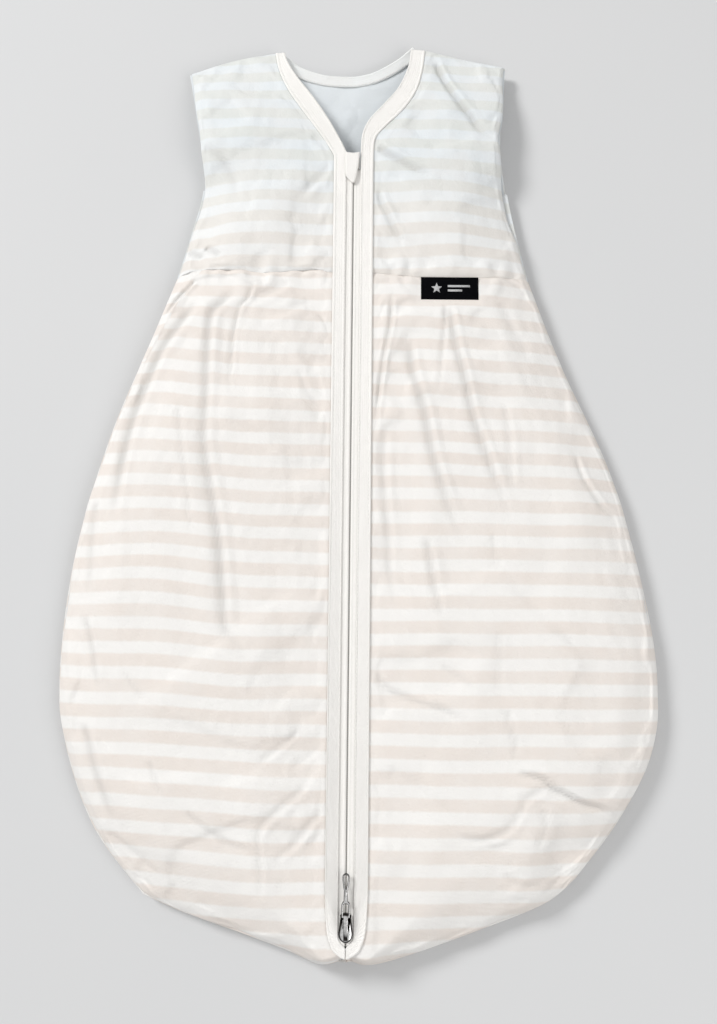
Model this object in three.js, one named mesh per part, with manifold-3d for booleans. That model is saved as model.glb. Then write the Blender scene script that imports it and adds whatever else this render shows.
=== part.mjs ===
// Baby sleeping bag: sleeveless, wadded, lying flat on its back and zipped shut.
//
// Frame: millimetres, Z up from the surface that the bag lies on, Y from the foot to the neck,
// X to the right of someone who looks down at the front. The origin is under the back panel,
// on the zip line, half way along the bag.
//
// The bag is two wadded sandwiches, outer jersey, wadding and lining, that meet in a seam round
// the sides, the foot and the shoulders. The front is split by a zip that closes downwards: its
// slider rests at the foot, and its box and pin are at the neck, under a small chin guard.
import * as THREE from 'three';
import { mergeVertices } from 'three/addons/utils/BufferGeometryUtils.js';
import Module from 'manifold-3d';

const wasm = await Module();
wasm.setup();

// ---- driving dimensions -------------------------------------------------------------------

const GAP = 0.3; // between pieces that touch on the real bag
const WAIST_Y = 153; // seam between yoke and skirt

// Layers where the bag lies flat, and how they close up at a seam.
const JERSEY = 1.0; // thickness of the outer jersey and of the lining
const BACK_LINING_Z = 6.6;
const BACK_EDGE_LIFT = 6.0; // rise of the back's outer jersey to the seam
const BACK_LINING_LIFT = 0.7;
const SEAM_REACH = 8; // how far in from a seam the back still lifts
const SEAM_LINING_Z = 9.9; // underside of the front lining at a seam
const FRONT_LINING_Z = 17.6; // and away from it
const SEAM_OUTER_Z = 12.2; // underside of the front's outer jersey at a seam, over the end of the wadding
const FRONT_OUTER_Z = 24.2;
const SIDE_REACH = 45; // distance over which the front rises from a side seam
const SHOULDER_REACH = 80;
const ZIP_FOOT_REACH = 8; // the foot is steep where the zip ends

// Zip, all heights worked up from the top of the front's jersey.
const JERSEY_TOP_Z = FRONT_OUTER_Z + JERSEY;
const EDGE_X = 5.6; // half width of the slot between the fabric edges
const BAND_X = 15.5; // outer edge of the facing beside the zip
const TAPE = { inner: 0.5, outer: 14.5, thick: 0.6, foot: -336, neck: 237.7 };
const TAPE_Z = JERSEY_TOP_Z + GAP;
const COIL = { inner: 0.5, outer: 2.4, low: 23.6, high: 25.2 };
const FACING_THICK = 1.2;
const FACING_Z = TAPE_Z + TAPE.thick + GAP;
const BINDING_THICK = 1.0;

const SLIDER = {
  y: -323.5,
  length: 20,
  wide: 4.9,
  narrow: 3.7,
  upperNarrow: 3.0, // the upper plate tapers more
  plate: 1.2,
  lower: 21.9,
  upper: 26.5,
};
const PIVOT = { y: -315.5, z: 30.4, hole: 1.5 };
const CAP = { half: 1.5, low: 28.0, high: 32.9, foot: -332, neck: -313 };
const PULL = {
  thick: 1.4,
  tip: -287.1,
  base: 3.0,
  neck: 1.5,
  loop: 2.5,
  rim: 1.1, // width of metal round the loop
  bar: 1.8, // width of metal behind the cap
  footEnd: -316.4,
  slotEnd: -307.1,
  neckEnd: -299,
};
const GUARD = { x: -6.5, right: 4.8, top: 251.5, tip: 225.5, thick: 1.3 };
const LABEL = { x: 74.5, top: 149.5, wide: 44, high: 18, thick: 0.6 };

// Plan outline, half by half, as points [x, y] on smooth curves.
const HALVES = {
  left: {
    sign: -1,
    side: [[-143.5, -306], [-181.5, -259.5], [-206, -197], [-211.5, -140], [-204, -58],
      [-183, 27], [-157, 99], [-137.5, WAIST_Y]],
    foot: [[-143.5, -306], [-115, -317.8], [-75, -331], [-42, -342.3], [-18, -351.5], [0, -350]],
    armhole: [[-137.5, WAIST_Y], [-127, 193], [-119.5, 229], [-123, 265], [-128, 297], [-134, 328]],
    shoulder: [[-134, 328], [-94, 341], [-59, 348]],
    backNeck: [[-59, 348], [-44, 336.5], [-23, 329.5], [0, 328.5]],
    vEdge: [[-EDGE_X, 252], [-10, 262], [-20, 281], [-33, 302], [-46, 321], [-54, 336],
      [-57, 348.3]],
    vBand: [[-BAND_X, 249], [-22, 261], [-33, 277], [-44, 293], [-54, 310], [-61, 328],
      [-65, 347]],
  },
  right: {
    sign: 1,
    side: [[162, -293], [194, -253], [219, -208], [226, -160], [220, -98], [198, -4],
      [161, 86], [137.5, WAIST_Y]],
    foot: [[162, -293], [140, -310], [94, -328], [45, -344], [20, -351.7], [0, -350]],
    armhole: [[137.5, WAIST_Y], [127.5, 197], [121, 235], [118.2, 270], [120, 305], [122.4, 336]],
    shoulder: [[122.4, 336], [94, 341.5], [46.6, 353.5]],
    backNeck: [[46.6, 353.5], [30, 341], [14, 332], [0, 328.5]],
    vEdge: [[EDGE_X, 252], [6.5, 268], [12, 281], [24, 296], [35, 311], [43, 332],
      [45.5, 353.5]],
    vBand: [[BAND_X, 249], [17, 264], [24, 274], [38, 289], [48.5, 306], [54, 325],
      [57, 350.6]],
  },
};
const ARMPIT_Y = 229;
const ARMPIT_BLEND = 20; // length over which the closed side becomes the open armhole
const BAND_FOOT_Y = -351;
const FOOT_SHARE = 0.915; // share of the foot's curve that lies outside the facing
const ARM_OPENING = 0.95; // how far an open armhole lets the front rise, of its full height
const ARM_STEEPNESS = 1.4;
const ZIP_BLEND = 60; // distance from the facing over which the foot gets less steep
const NEVER = 1e-6; // a reach so short that nothing lifts

// Grid lines: columns from the side to the zip, rows from the foot up and from the waist up.
const COLUMNS = [0, 0.06, 0.16, 0.34, 0.56, 0.78, 1];
const SKIRT_ROWS = [0, 0.02, 0.07, 0.15, 0.28, 0.42, 0.58, 0.74, 0.88, 1];
const ZIP_SHARE = 0.45; // share of the yoke's inner edge that runs beside the zip
const YOKE_ROWS = [0, 0.15, 0.3, ZIP_SHARE, 0.57, 0.69, 0.81, 0.95, 1];
const WAIST_ROW = SKIRT_ROWS.length - 1;
const TOP_ROW = WAIST_ROW + YOKE_ROWS.length - 1;
const BAND_COLUMN = COLUMNS.length - 1;
const INNER_COLUMN = BAND_COLUMN + 1;
const NECK_COLUMN = 4; // back column that ends at the neck point

// ---- materials ----------------------------------------------------------------------------

function material(color, roughness, metalness = 0) {
  return new THREE.MeshStandardMaterial({ color, roughness, metalness });
}
const FINISH = {
  stripe: material(0xf0e8e1, 0.9),
  lining: material(0xe3e8ea, 0.9),
  wadding: material(0xf7f7f7, 1),
  facing: material(0xf2eee8, 0.85),
  tape: material(0xf4f1ea, 0.8),
  coil: material(0xeeebe4, 0.5),
  metal: material(0x8f9092, 0.22, 1),
  label: material(0x0d0d10, 0.7),
};

// ---- curves and grids ---------------------------------------------------------------------

const lerp = THREE.MathUtils.lerp;
const clamp = THREE.MathUtils.clamp;

function mix(a, b, t) {
  return new THREE.Vector2(lerp(a.x, b.x, t), lerp(a.y, b.y, t));
}

function curve(points) {
  return new THREE.SplineCurve(points.map(([x, y]) => new THREE.Vector2(x, y)));
}

// A patch between four edges, each a function from 0..1 to a point (a Coons patch).
function patch(bottom, top, outer, inner) {
  return (u, v) => {
    const across = mix(bottom(u), top(u), v);
    const along = mix(outer(v), inner(v), u);
    const corners = mix(mix(bottom(0), bottom(1), u), mix(top(0), top(1), u), v);
    return across.add(along).sub(corners);
  };
}

// The zip stretch of a yoke's edge is straight, and then it follows the V of the neck.
function yokeEdge(points) {
  const [x, corner] = points[0];
  const neck = curve(points);
  return (v) => {
    if (v <= ZIP_SHARE) {
      return new THREE.Vector2(x, lerp(WAIST_Y, corner, v / ZIP_SHARE));
    }
    return neck.getPoint((v - ZIP_SHARE) / (1 - ZIP_SHARE));
  };
}

// Rise of the front above its seam at a distance in from that seam, from 0 to 1.
function rise(distance, reach) {
  return Math.sin((Math.PI / 2) * clamp(distance / reach, 0, 1));
}

function halfGrid(half) {
  const foot = curve(half.foot);
  const side = curve(half.side);
  const armhole = curve(half.armhole);
  const shoulder = curve(half.shoulder);
  const backNeck = curve(half.backNeck);
  const waistSide = side.getPoint(1);
  const waistBand = new THREE.Vector2(half.sign * BAND_X, WAIST_Y);
  const vBand = yokeEdge(half.vBand);
  const vEdge = yokeEdge(half.vEdge);
  const bandTop = vBand(1);
  const shoulderShare = (bandTop.x - half.shoulder[0][0])
    / (half.shoulder[2][0] - half.shoulder[0][0]);

  const skirt = patch(
    (u) => foot.getPoint(u * FOOT_SHARE),
    (u) => mix(waistSide, waistBand, u),
    (v) => side.getPoint(v),
    (v) => mix(foot.getPoint(FOOT_SHARE), waistBand, v),
  );
  const frontYoke = patch(
    (u) => mix(waistSide, waistBand, u),
    (u) => (u < 1 ? shoulder.getPoint(u * shoulderShare) : bandTop),
    (v) => armhole.getPoint(v),
    vBand,
  );
  const waistMid = new THREE.Vector2(0, WAIST_Y);
  const neckLow = backNeck.getPoint(1);
  const waistX = (i) => (i < INNER_COLUMN ? mix(waistSide, waistBand, COLUMNS[i]) : waistMid);
  const share = (i) => (waistX(i).x - waistSide.x) / -waistSide.x;
  const neckShare = share(NECK_COLUMN);
  const backYoke = patch(
    (u) => mix(waistSide, waistMid, u),
    (u) => (u <= neckShare
      ? shoulder.getPoint(u / neckShare)
      : backNeck.getPoint((u - neckShare) / (1 - neckShare))),
    (v) => armhole.getPoint(v),
    (v) => mix(waistMid, neckLow, v),
  );

  function skirtPoint(i, j, innerX) {
    const v = SKIRT_ROWS[j];
    if (i < INNER_COLUMN) {
      return skirt(COLUMNS[i], v);
    }
    return new THREE.Vector2(half.sign * innerX, skirt(1, v).y);
  }
  function front(i, j) {
    if (j <= WAIST_ROW) {
      return skirtPoint(i, j, EDGE_X);
    }
    const v = YOKE_ROWS[j - WAIST_ROW];
    return i < INNER_COLUMN ? frontYoke(COLUMNS[i], v) : vEdge(v);
  }
  function back(i, j) {
    return j <= WAIST_ROW ? skirtPoint(i, j, 0) : backYoke(share(i), YOKE_ROWS[j - WAIST_ROW]);
  }

  // How far a front point has risen from the seams: 0 at a seam, 1 where the bag is full.
  function loft(i, j) {
    const p = front(i, j);
    const edge = front(0, j);
    const tip = armhole.getPoint(1);
    const armOpen = clamp((p.y - ARMPIT_Y) / (tip.y - ARMPIT_Y), 0, 1);
    const arch = Math.min(1, ARM_STEEPNESS * Math.sin(Math.PI * armOpen));
    const open = j > WAIST_ROW ? ARM_OPENING * arch : 0;
    const fromSide = rise(p.distanceTo(edge), SIDE_REACH);
    const fromZip = clamp((Math.abs(p.x) - BAND_X) / ZIP_BLEND, 0, 1);
    const reach = lerp(ZIP_FOOT_REACH, SIDE_REACH, fromZip);
    const fromFoot = rise(p.y - front(i, 0).y, reach);
    const fromShoulder = rise(front(i, TOP_ROW).y - p.y, SHOULDER_REACH);
    return (1 - (1 - fromSide) * (1 - open)) * fromFoot * fromShoulder;
  }

  // Lift of the back towards a seam: 1 at the seam, 0 inside and along the armhole and neck.
  function lift(i, j) {
    const p = back(i, j);
    const closed = clamp((ARMPIT_Y + ARMPIT_BLEND - p.y) / ARMPIT_BLEND, 0, 1);
    const fromSide = p.distanceTo(back(0, j)) / (closed > 0 ? SEAM_REACH : NEVER);
    const fromFoot = (p.y - back(i, 0).y) / SEAM_REACH;
    const fromTop = i <= NECK_COLUMN ? (back(i, TOP_ROW).y - p.y) / SEAM_REACH : Infinity;
    const nearest = Math.min(closed > 0 ? fromSide : Infinity, fromFoot, fromTop);
    return Math.exp(-nearest * nearest);
  }
  return { front, back, loft, lift, sign: half.sign };
}

// ---- solids -------------------------------------------------------------------------------

// A closed sheet over grid columns i0..i1 and rows j0..j1, between two heights per grid point.
// at(i, j) gives a plan point; columns must run towards +X and rows towards +Y.
function sheet([i0, i1], [j0, j1], at, low, high) {
  const wide = i1 - i0 + 1;
  const tall = j1 - j0 + 1;
  const layer = wide * tall;
  const positions = [];
  for (const height of [low, high]) {
    for (let j = j0; j <= j1; j += 1) {
      for (let i = i0; i <= i1; i += 1) {
        const p = at(i, j);
        positions.push(p.x, p.y, height(i, j));
      }
    }
  }
  const index = [];
  const quad = (a, b, c, d) => index.push(a, b, c, a, c, d);
  for (let j = 0; j < tall - 1; j += 1) {
    for (let i = 0; i < wide - 1; i += 1) {
      const a = j * wide + i;
      const b = a + 1;
      const c = b + wide;
      const d = a + wide;
      quad(layer + a, layer + b, layer + c, layer + d);
      index.push(a, c, b, a, d, c);
    }
  }
  for (let i = 0; i < wide - 1; i += 1) {
    const far = (tall - 1) * wide + i;
    quad(i, i + 1, layer + i + 1, layer + i);
    quad(far + 1, far, layer + far, layer + far + 1);
  }
  for (let j = 0; j < tall - 1; j += 1) {
    const near = j * wide;
    const far = near + wide - 1;
    quad(near + wide, near, layer + near, layer + near + wide);
    quad(far, far + wide, layer + far + wide, layer + far);
  }
  const geometry = new THREE.BufferGeometry();
  geometry.setAttribute('position', new THREE.Float32BufferAttribute(positions, 3));
  geometry.setIndex(index);
  geometry.computeVertexNormals();
  return geometry;
}

function box(x0, x1, y0, y1, z0, z1) {
  const geometry = new THREE.BoxGeometry(x1 - x0, y1 - y0, z1 - z0);
  return geometry.translate((x0 + x1) / 2, (y0 + y1) / 2, (z0 + z1) / 2);
}

// A plan shape pulled up from z0 by a thickness.
function plate(shape, z0, thick, curveSegments = 8) {
  const options = { depth: thick, bevelEnabled: false, curveSegments };
  return new THREE.ExtrudeGeometry(shape, options).translate(0, 0, z0);
}

const WELD = 1e-4; // corners closer than this are one

function solid(geometry) {
  const bare = geometry.clone();
  bare.deleteAttribute('normal');
  bare.deleteAttribute('uv');
  const merged = mergeVertices(bare, WELD);
  return new wasm.Manifold(new wasm.Mesh({
    numProp: 3,
    vertProperties: new Float32Array(merged.attributes.position.array),
    triVerts: new Uint32Array(merged.index.array),
  }));
}

function fromSolid(manifold) {
  const mesh = manifold.getMesh();
  const geometry = new THREE.BufferGeometry();
  geometry.setAttribute('position', new THREE.Float32BufferAttribute(mesh.vertProperties, 3));
  geometry.setIndex(Array.from(mesh.triVerts));
  geometry.computeVertexNormals();
  return geometry;
}

const bag = new THREE.Group();

function add(name, geometry, finish) {
  const mesh = new THREE.Mesh(geometry, finish);
  mesh.name = name;
  bag.add(mesh);
}

// ---- front: outer jersey, wadding, lining and facing of each half ---------------------------

const frontLining = (loft) => lerp(SEAM_LINING_Z, FRONT_LINING_Z, loft);
const frontOuter = (loft) => lerp(SEAM_OUTER_Z, FRONT_OUTER_Z, loft);
const SEAM_TRIM = GAP / 2; // each side of the waist seam gives way by this much

function addFrontHalf(side, grid) {
  // The right half's columns are counted from the zip outwards, so that X always grows.
  const turn = (i) => (grid.sign < 0 ? i : INNER_COLUMN - i);
  const span = (a, b) => (grid.sign < 0 ? [a, b] : [INNER_COLUMN - b, INNER_COLUMN - a]);
  const at = (i, j) => grid.front(turn(i), j);
  const trimmed = (direction) => (i, j) => {
    const p = at(i, j);
    return j === WAIST_ROW ? new THREE.Vector2(p.x, p.y + direction * SEAM_TRIM) : p;
  };
  const loft = (i, j) => grid.loft(turn(i), j);
  const whole = span(0, INNER_COLUMN);

  const outerLow = (i, j) => frontOuter(loft(i, j));
  const outerHigh = (i, j) => frontOuter(loft(i, j)) + JERSEY;
  add(`front_yoke_${side}_outer`,
    sheet(whole, [WAIST_ROW, TOP_ROW], trimmed(1), outerLow, outerHigh), FINISH.stripe);
  add(`front_skirt_${side}_outer`,
    sheet(whole, [0, WAIST_ROW], trimmed(-1), outerLow, outerHigh), FINISH.stripe);

  const liningHigh = (i, j) => frontLining(loft(i, j)) + JERSEY;
  add(`front_lining_${side}`,
    sheet(whole, [0, TOP_ROW], at, (i, j) => frontLining(loft(i, j)), liningHigh), FINISH.lining);
  add(`front_wadding_${side}`,
    sheet(span(1, INNER_COLUMN), [1, TOP_ROW - 1], at,
      (i, j) => liningHigh(i, j) + GAP, (i, j) => outerLow(i, j) - GAP), FINISH.wadding);

  const facingLow = (i, j) => outerHigh(i, j) + (FACING_Z - JERSEY_TOP_Z);
  add(`front_facing_${side}`,
    sheet(span(BAND_COLUMN, INNER_COLUMN), [1, TOP_ROW], at,
      facingLow, (i, j) => facingLow(i, j) + FACING_THICK), FINISH.facing);
}

const halves = { left: halfGrid(HALVES.left), right: halfGrid(HALVES.right) };
addFrontHalf('left', halves.left);
addFrontHalf('right', halves.right);

// ---- back: outer yoke and skirt, wadding, lining and the binding of the neck ----------------

const BACK_COLUMNS = 2 * INNER_COLUMN; // the centre line is column INNER_COLUMN
const halfOf = (i) => (i <= INNER_COLUMN ? [halves.left, i] : [halves.right, BACK_COLUMNS - i]);

function backAt(i, j) {
  const [grid, column] = halfOf(i);
  return grid.back(column, j);
}

function backLift(i, j) {
  const [grid, column] = halfOf(i);
  return grid.lift(column, j);
}

function backTrimmed(direction) {
  return (i, j) => {
    const p = backAt(i, j);
    return j === WAIST_ROW ? new THREE.Vector2(p.x, p.y + direction * SEAM_TRIM) : p;
  };
}

const backOuterLow = (i, j) => BACK_EDGE_LIFT * backLift(i, j);
const backOuterHigh = (i, j) => backOuterLow(i, j) + JERSEY;
const backLiningLow = (i, j) => BACK_LINING_Z + BACK_LINING_LIFT * backLift(i, j);
const backLiningHigh = (i, j) => backLiningLow(i, j) + JERSEY;

add('back_yoke_outer', sheet([0, BACK_COLUMNS], [WAIST_ROW, TOP_ROW], backTrimmed(1),
  backOuterLow, backOuterHigh), FINISH.stripe);
add('back_skirt_outer', sheet([0, BACK_COLUMNS], [0, WAIST_ROW], backTrimmed(-1),
  backOuterLow, backOuterHigh), FINISH.stripe);
add('back_wadding', sheet([1, BACK_COLUMNS - 1], [1, TOP_ROW - 1], backAt,
  (i, j) => backOuterHigh(i, j) + GAP, (i, j) => backLiningLow(i, j) - GAP), FINISH.wadding);
add('back_lining', sheet([0, BACK_COLUMNS], [0, TOP_ROW], backAt,
  backLiningLow, backLiningHigh), FINISH.lining);
add('back_neck_binding', sheet([NECK_COLUMN, BACK_COLUMNS - NECK_COLUMN], [TOP_ROW - 1, TOP_ROW],
  backAt, (i, j) => backLiningHigh(i, j) + GAP,
  (i, j) => backLiningHigh(i, j) + GAP + BINDING_THICK), FINISH.facing);

// ---- zip: tapes, coils, box and pin at the neck, stop at the foot ---------------------------

const PIN = { inner: 0.5, outer: 2.0, low: 23.7, high: 25.1, foot: 228.5, neck: 245.5 };
const BOX = { left: -3, right: 4.6, foot: 238, neck: 247.5, low: 22.8, high: 27.3 };
const PIN_CLEARANCE = 0.4;
const THROUGH = 1; // how far a cutter passes through the face that it opens

for (const [side, sign] of [['left', -1], ['right', 1]]) {
  const span = (inner, outer) => (sign < 0 ? [-outer, -inner] : [inner, outer]);
  add(`zip_tape_${side}`, box(...span(TAPE.inner, TAPE.outer), TAPE.foot, TAPE.neck,
    TAPE_Z, TAPE_Z + TAPE.thick), FINISH.tape);
  const coilNeck = sign < 0 ? PIN.foot - GAP : TAPE.neck;
  add(`zip_coil_${side}`, box(...span(COIL.inner, COIL.outer), TAPE.foot, coilNeck,
    COIL.low, COIL.high), FINISH.coil);
}
add('zip_pin', box(-PIN.outer, -PIN.inner, PIN.foot, PIN.neck, PIN.low, PIN.high), FINISH.coil);

const socket = box(-PIN.outer - PIN_CLEARANCE, -PIN.inner + PIN_CLEARANCE,
  BOX.foot - THROUGH, PIN.neck + PIN_CLEARANCE, PIN.low - PIN_CLEARANCE, PIN.high + PIN_CLEARANCE);
const boxBlock = box(BOX.left, BOX.right, BOX.foot, BOX.neck, BOX.low, BOX.high);
add('zip_box', fromSolid(solid(boxBlock).subtract(solid(socket))), FINISH.coil);
const STOP = { half: 2.9, long: 2.0, gap: 0.8, low: 23.4, high: 26.3 };
add('zip_bottom_stop', box(-STOP.half, STOP.half, TAPE.foot - STOP.gap - STOP.long,
  TAPE.foot - STOP.gap, STOP.low, STOP.high), FINISH.metal);

// ---- slider: two plates on a wedge, a cap with the lock inside, and the pull ---------------

// Plan of a slider plate: wide and round towards the foot, narrow towards the neck.
function sliderShape(narrow) {
  const foot = SLIDER.y - SLIDER.length / 2;
  const neck = SLIDER.y + SLIDER.length / 2;
  const shoulder = foot + 7; // where the plate is widest
  const corner = foot + 0.6;
  const dip = neck - 1.2;
  const shape = new THREE.Shape();
  shape.moveTo(-narrow, neck);
  shape.lineTo(-SLIDER.wide, shoulder);
  shape.quadraticCurveTo(-SLIDER.wide, corner, 0, foot);
  shape.quadraticCurveTo(SLIDER.wide, corner, SLIDER.wide, shoulder);
  shape.lineTo(narrow, neck);
  shape.quadraticCurveTo(0, dip, -narrow, neck);
  return shape;
}

const WEDGE = { half: 0.22, foot: -332, neck: -326.5 };
const FLANGE = { inner: 2.9, outer: 3.6, foot: -327.5, neck: -314.5, high: 24.9 };
const WINDOW = { half: 0.8, foot: -322.5, neck: -320.5 };
const BURY = 0.5; // how far one solid reaches into the one that it joins
const lowerTop = SLIDER.lower + SLIDER.plate;

let sliderBody = solid(plate(sliderShape(SLIDER.narrow), SLIDER.lower, SLIDER.plate))
  .add(solid(plate(sliderShape(SLIDER.upperNarrow), SLIDER.upper, SLIDER.plate)))
  .add(solid(box(-WEDGE.half, WEDGE.half, WEDGE.foot, WEDGE.neck,
    lowerTop - BURY, SLIDER.upper + BURY)));
for (const sign of [-1, 1]) {
  const x0 = sign < 0 ? -FLANGE.outer : FLANGE.inner;
  sliderBody = sliderBody.add(solid(box(x0, x0 + FLANGE.outer - FLANGE.inner,
    FLANGE.foot, FLANGE.neck, lowerTop - BURY, FLANGE.high)));
}
sliderBody = sliderBody.subtract(solid(box(-WINDOW.half, WINDOW.half, WINDOW.foot, WINDOW.neck,
  SLIDER.upper - THROUGH, SLIDER.upper + SLIDER.plate + THROUGH)));
add('slider_body', fromSolid(sliderBody), FINISH.metal);

// Side view of the cap, drawn with Y across and Z up, then stood up across the slider.
function capGeometry() {
  const shape = new THREE.Shape();
  shape.moveTo(CAP.foot, CAP.low);
  shape.lineTo(CAP.neck - 0.8, CAP.low);
  shape.quadraticCurveTo(CAP.neck, CAP.low + 0.4, CAP.neck, PIVOT.z);
  shape.quadraticCurveTo(CAP.neck, CAP.high, PIVOT.y - 0.5, CAP.high);
  shape.quadraticCurveTo(CAP.foot + 2, CAP.high - 0.4, CAP.foot, CAP.low);
  const eye = new THREE.Path();
  eye.absarc(PIVOT.y, PIVOT.z, PIVOT.hole, 0, 2 * Math.PI, true);
  shape.holes.push(eye);
  const options = { depth: 2 * CAP.half, bevelEnabled: false, curveSegments: 10 };
  const geometry = new THREE.ExtrudeGeometry(shape, options);
  const toYZ = new THREE.Matrix4().makeBasis(
    new THREE.Vector3(0, 1, 0), new THREE.Vector3(0, 0, 1), new THREE.Vector3(1, 0, 0));
  return geometry.applyMatrix4(toYZ).translate(-CAP.half, 0, 0);
}

const PAWL = { half: 0.8, foot: -329, neck: -319.3, low: 28.1, high: 28.7 };
const TOOTH = { half: 0.2, low: 25.0 };
const pocket = box(-PAWL.half - GAP, PAWL.half + GAP, PAWL.foot - GAP, PAWL.neck + GAP,
  CAP.low - THROUGH, PAWL.high + GAP);
add('slider_cap', fromSolid(solid(capGeometry()).subtract(solid(pocket))), FINISH.metal);

const tooth = box(-TOOTH.half, TOOTH.half, WINDOW.foot + BURY, WINDOW.neck - BURY,
  TOOTH.low, PAWL.low + GAP);
const leaf = box(-PAWL.half, PAWL.half, PAWL.foot, PAWL.neck, PAWL.low, PAWL.high);
add('lock_pawl', fromSolid(solid(leaf).add(solid(tooth))), FINISH.metal);

// Plan of the pull: a slotted base round the cap, a solid neck and a teardrop loop.
function pullShape() {
  const { base, neck, loop, footEnd, slotEnd, neckEnd } = PULL;
  const loopY = PULL.tip - loop;
  const waist = neck - 0.3; // the neck narrows towards the loop
  const shape = new THREE.Shape();
  shape.moveTo(-base, footEnd);
  shape.lineTo(base, footEnd);
  shape.lineTo(base, slotEnd - 1.5);
  shape.quadraticCurveTo(base, slotEnd + 1, neck, slotEnd + 1.6);
  shape.lineTo(waist, neckEnd);
  shape.quadraticCurveTo(loop, loopY - 4, loop, loopY);
  shape.absarc(0, loopY, loop, 0, Math.PI, false);
  shape.quadraticCurveTo(-loop, loopY - 4, -waist, neckEnd);
  shape.lineTo(-neck, slotEnd + 1.6);
  shape.quadraticCurveTo(-base, slotEnd + 1, -base, slotEnd - 1.5);
  shape.closePath();

  const slot = new THREE.Path();
  const slotHalf = CAP.half + GAP;
  const slotFoot = footEnd + PULL.bar;
  slot.moveTo(-slotHalf, slotFoot);
  slot.lineTo(-slotHalf, slotEnd - 1);
  slot.quadraticCurveTo(0, slotEnd + 1, slotHalf, slotEnd - 1);
  slot.lineTo(slotHalf, slotFoot);
  slot.closePath();
  shape.holes.push(slot);

  const drop = new THREE.Path();
  const dropHalf = loop - PULL.rim;
  drop.moveTo(0, neckEnd + 1);
  drop.quadraticCurveTo(-dropHalf, loopY - 3, -dropHalf, loopY);
  drop.absarc(0, loopY, dropHalf, Math.PI, 0, true);
  drop.quadraticCurveTo(dropHalf, loopY - 3, 0, neckEnd + 1);
  shape.holes.push(drop);
  return shape;
}
add('pull_tab', plate(pullShape(), PIVOT.z - PULL.thick / 2, PULL.thick), FINISH.metal);

// ---- chin guard and label --------------------------------------------------------------------

const GUARD_Z = FACING_Z + FACING_THICK + GAP;

function guardShape() {
  const shape = new THREE.Shape();
  shape.moveTo(GUARD.x, GUARD.top);
  shape.lineTo(GUARD.x, GUARD.tip + 9);
  shape.quadraticCurveTo(GUARD.x + 0.5, GUARD.tip + 3, -0.6, GUARD.tip);
  shape.quadraticCurveTo(GUARD.right + 0.8, GUARD.tip + 12, GUARD.right, GUARD.top);
  shape.closePath();
  return shape;
}
add('chin_guard', plate(guardShape(), GUARD_Z, GUARD.thick), FINISH.facing);

add('woven_label', box(LABEL.x - LABEL.wide / 2, LABEL.x + LABEL.wide / 2,
  LABEL.top - LABEL.high, LABEL.top, JERSEY_TOP_Z + GAP, JERSEY_TOP_Z + GAP + LABEL.thick),
FINISH.label);

export default bag;
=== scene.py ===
# Looks of a wadded baby sleeping bag that lies flat on its back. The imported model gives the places.
# Shapes are worked out in millimetres in the frame of the model: x to the right, y from the foot
# to the neck, z up from the floor. mesh_piece() turns them into metres.
import math

import bmesh
import bpy
import numpy as np
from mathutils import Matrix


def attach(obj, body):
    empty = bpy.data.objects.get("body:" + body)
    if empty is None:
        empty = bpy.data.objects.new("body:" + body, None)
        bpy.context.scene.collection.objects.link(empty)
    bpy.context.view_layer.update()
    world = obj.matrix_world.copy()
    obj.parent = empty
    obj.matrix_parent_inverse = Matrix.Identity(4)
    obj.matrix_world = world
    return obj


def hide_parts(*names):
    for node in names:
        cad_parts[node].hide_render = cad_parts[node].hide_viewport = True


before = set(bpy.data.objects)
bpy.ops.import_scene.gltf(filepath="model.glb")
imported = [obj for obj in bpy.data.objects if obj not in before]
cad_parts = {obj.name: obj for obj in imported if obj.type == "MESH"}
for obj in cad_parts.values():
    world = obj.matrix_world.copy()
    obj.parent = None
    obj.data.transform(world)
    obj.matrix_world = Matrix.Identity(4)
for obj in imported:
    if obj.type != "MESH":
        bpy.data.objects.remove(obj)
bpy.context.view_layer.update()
MM = 0.001

# ---- measures, in millimetres

WAIST_Y = 153.0  # seam between yoke and skirt
BAND_X = 15.5  # outer edge of the facing beside the zip
EDGE_X = 5.4  # inner edge of the facing
FOOT_Y = -350.0
ARMPIT_Y = 229.0
PANEL_INNER_X = 7.0  # the panels end under the facing
PANEL_FOOT_X = 0.35  # below the zip they nearly meet

SEAM_Z = 10.2  # where front and back meet round the sides
OPEN_Z = 21.6  # where the front's outer and inner faces meet along an armhole
SEAM_TOP_Z = 13.6
FULL_TOP_Z = 25.2
SEAM_LOW_Z = 11.2
FULL_LOW_Z = 19.0
SIDE_REACH = 45.0
SHOULDER_REACH = 80.0
EDGE_ROUND = 7.0  # radius of the soft edge round a panel
PUFF = 3.4  # how far the wadding lifts the middle of a half front
RIM = 0.35  # half thickness of the very edge of a panel
FACING_Z = 26.3  # underside of the facings beside the zip

STRIPE_PITCH = 17.72
STRIPE_BEIGE = 9.0
STRIPE_BLUR = 0.065  # half width of a stripe's soft edge, in pitches
STRIPE_ORIGIN = {"yoke_left": 303.2, "yoke_right": 294.5, "skirt_left": 118.0, "skirt_right": 130.6}

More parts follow.
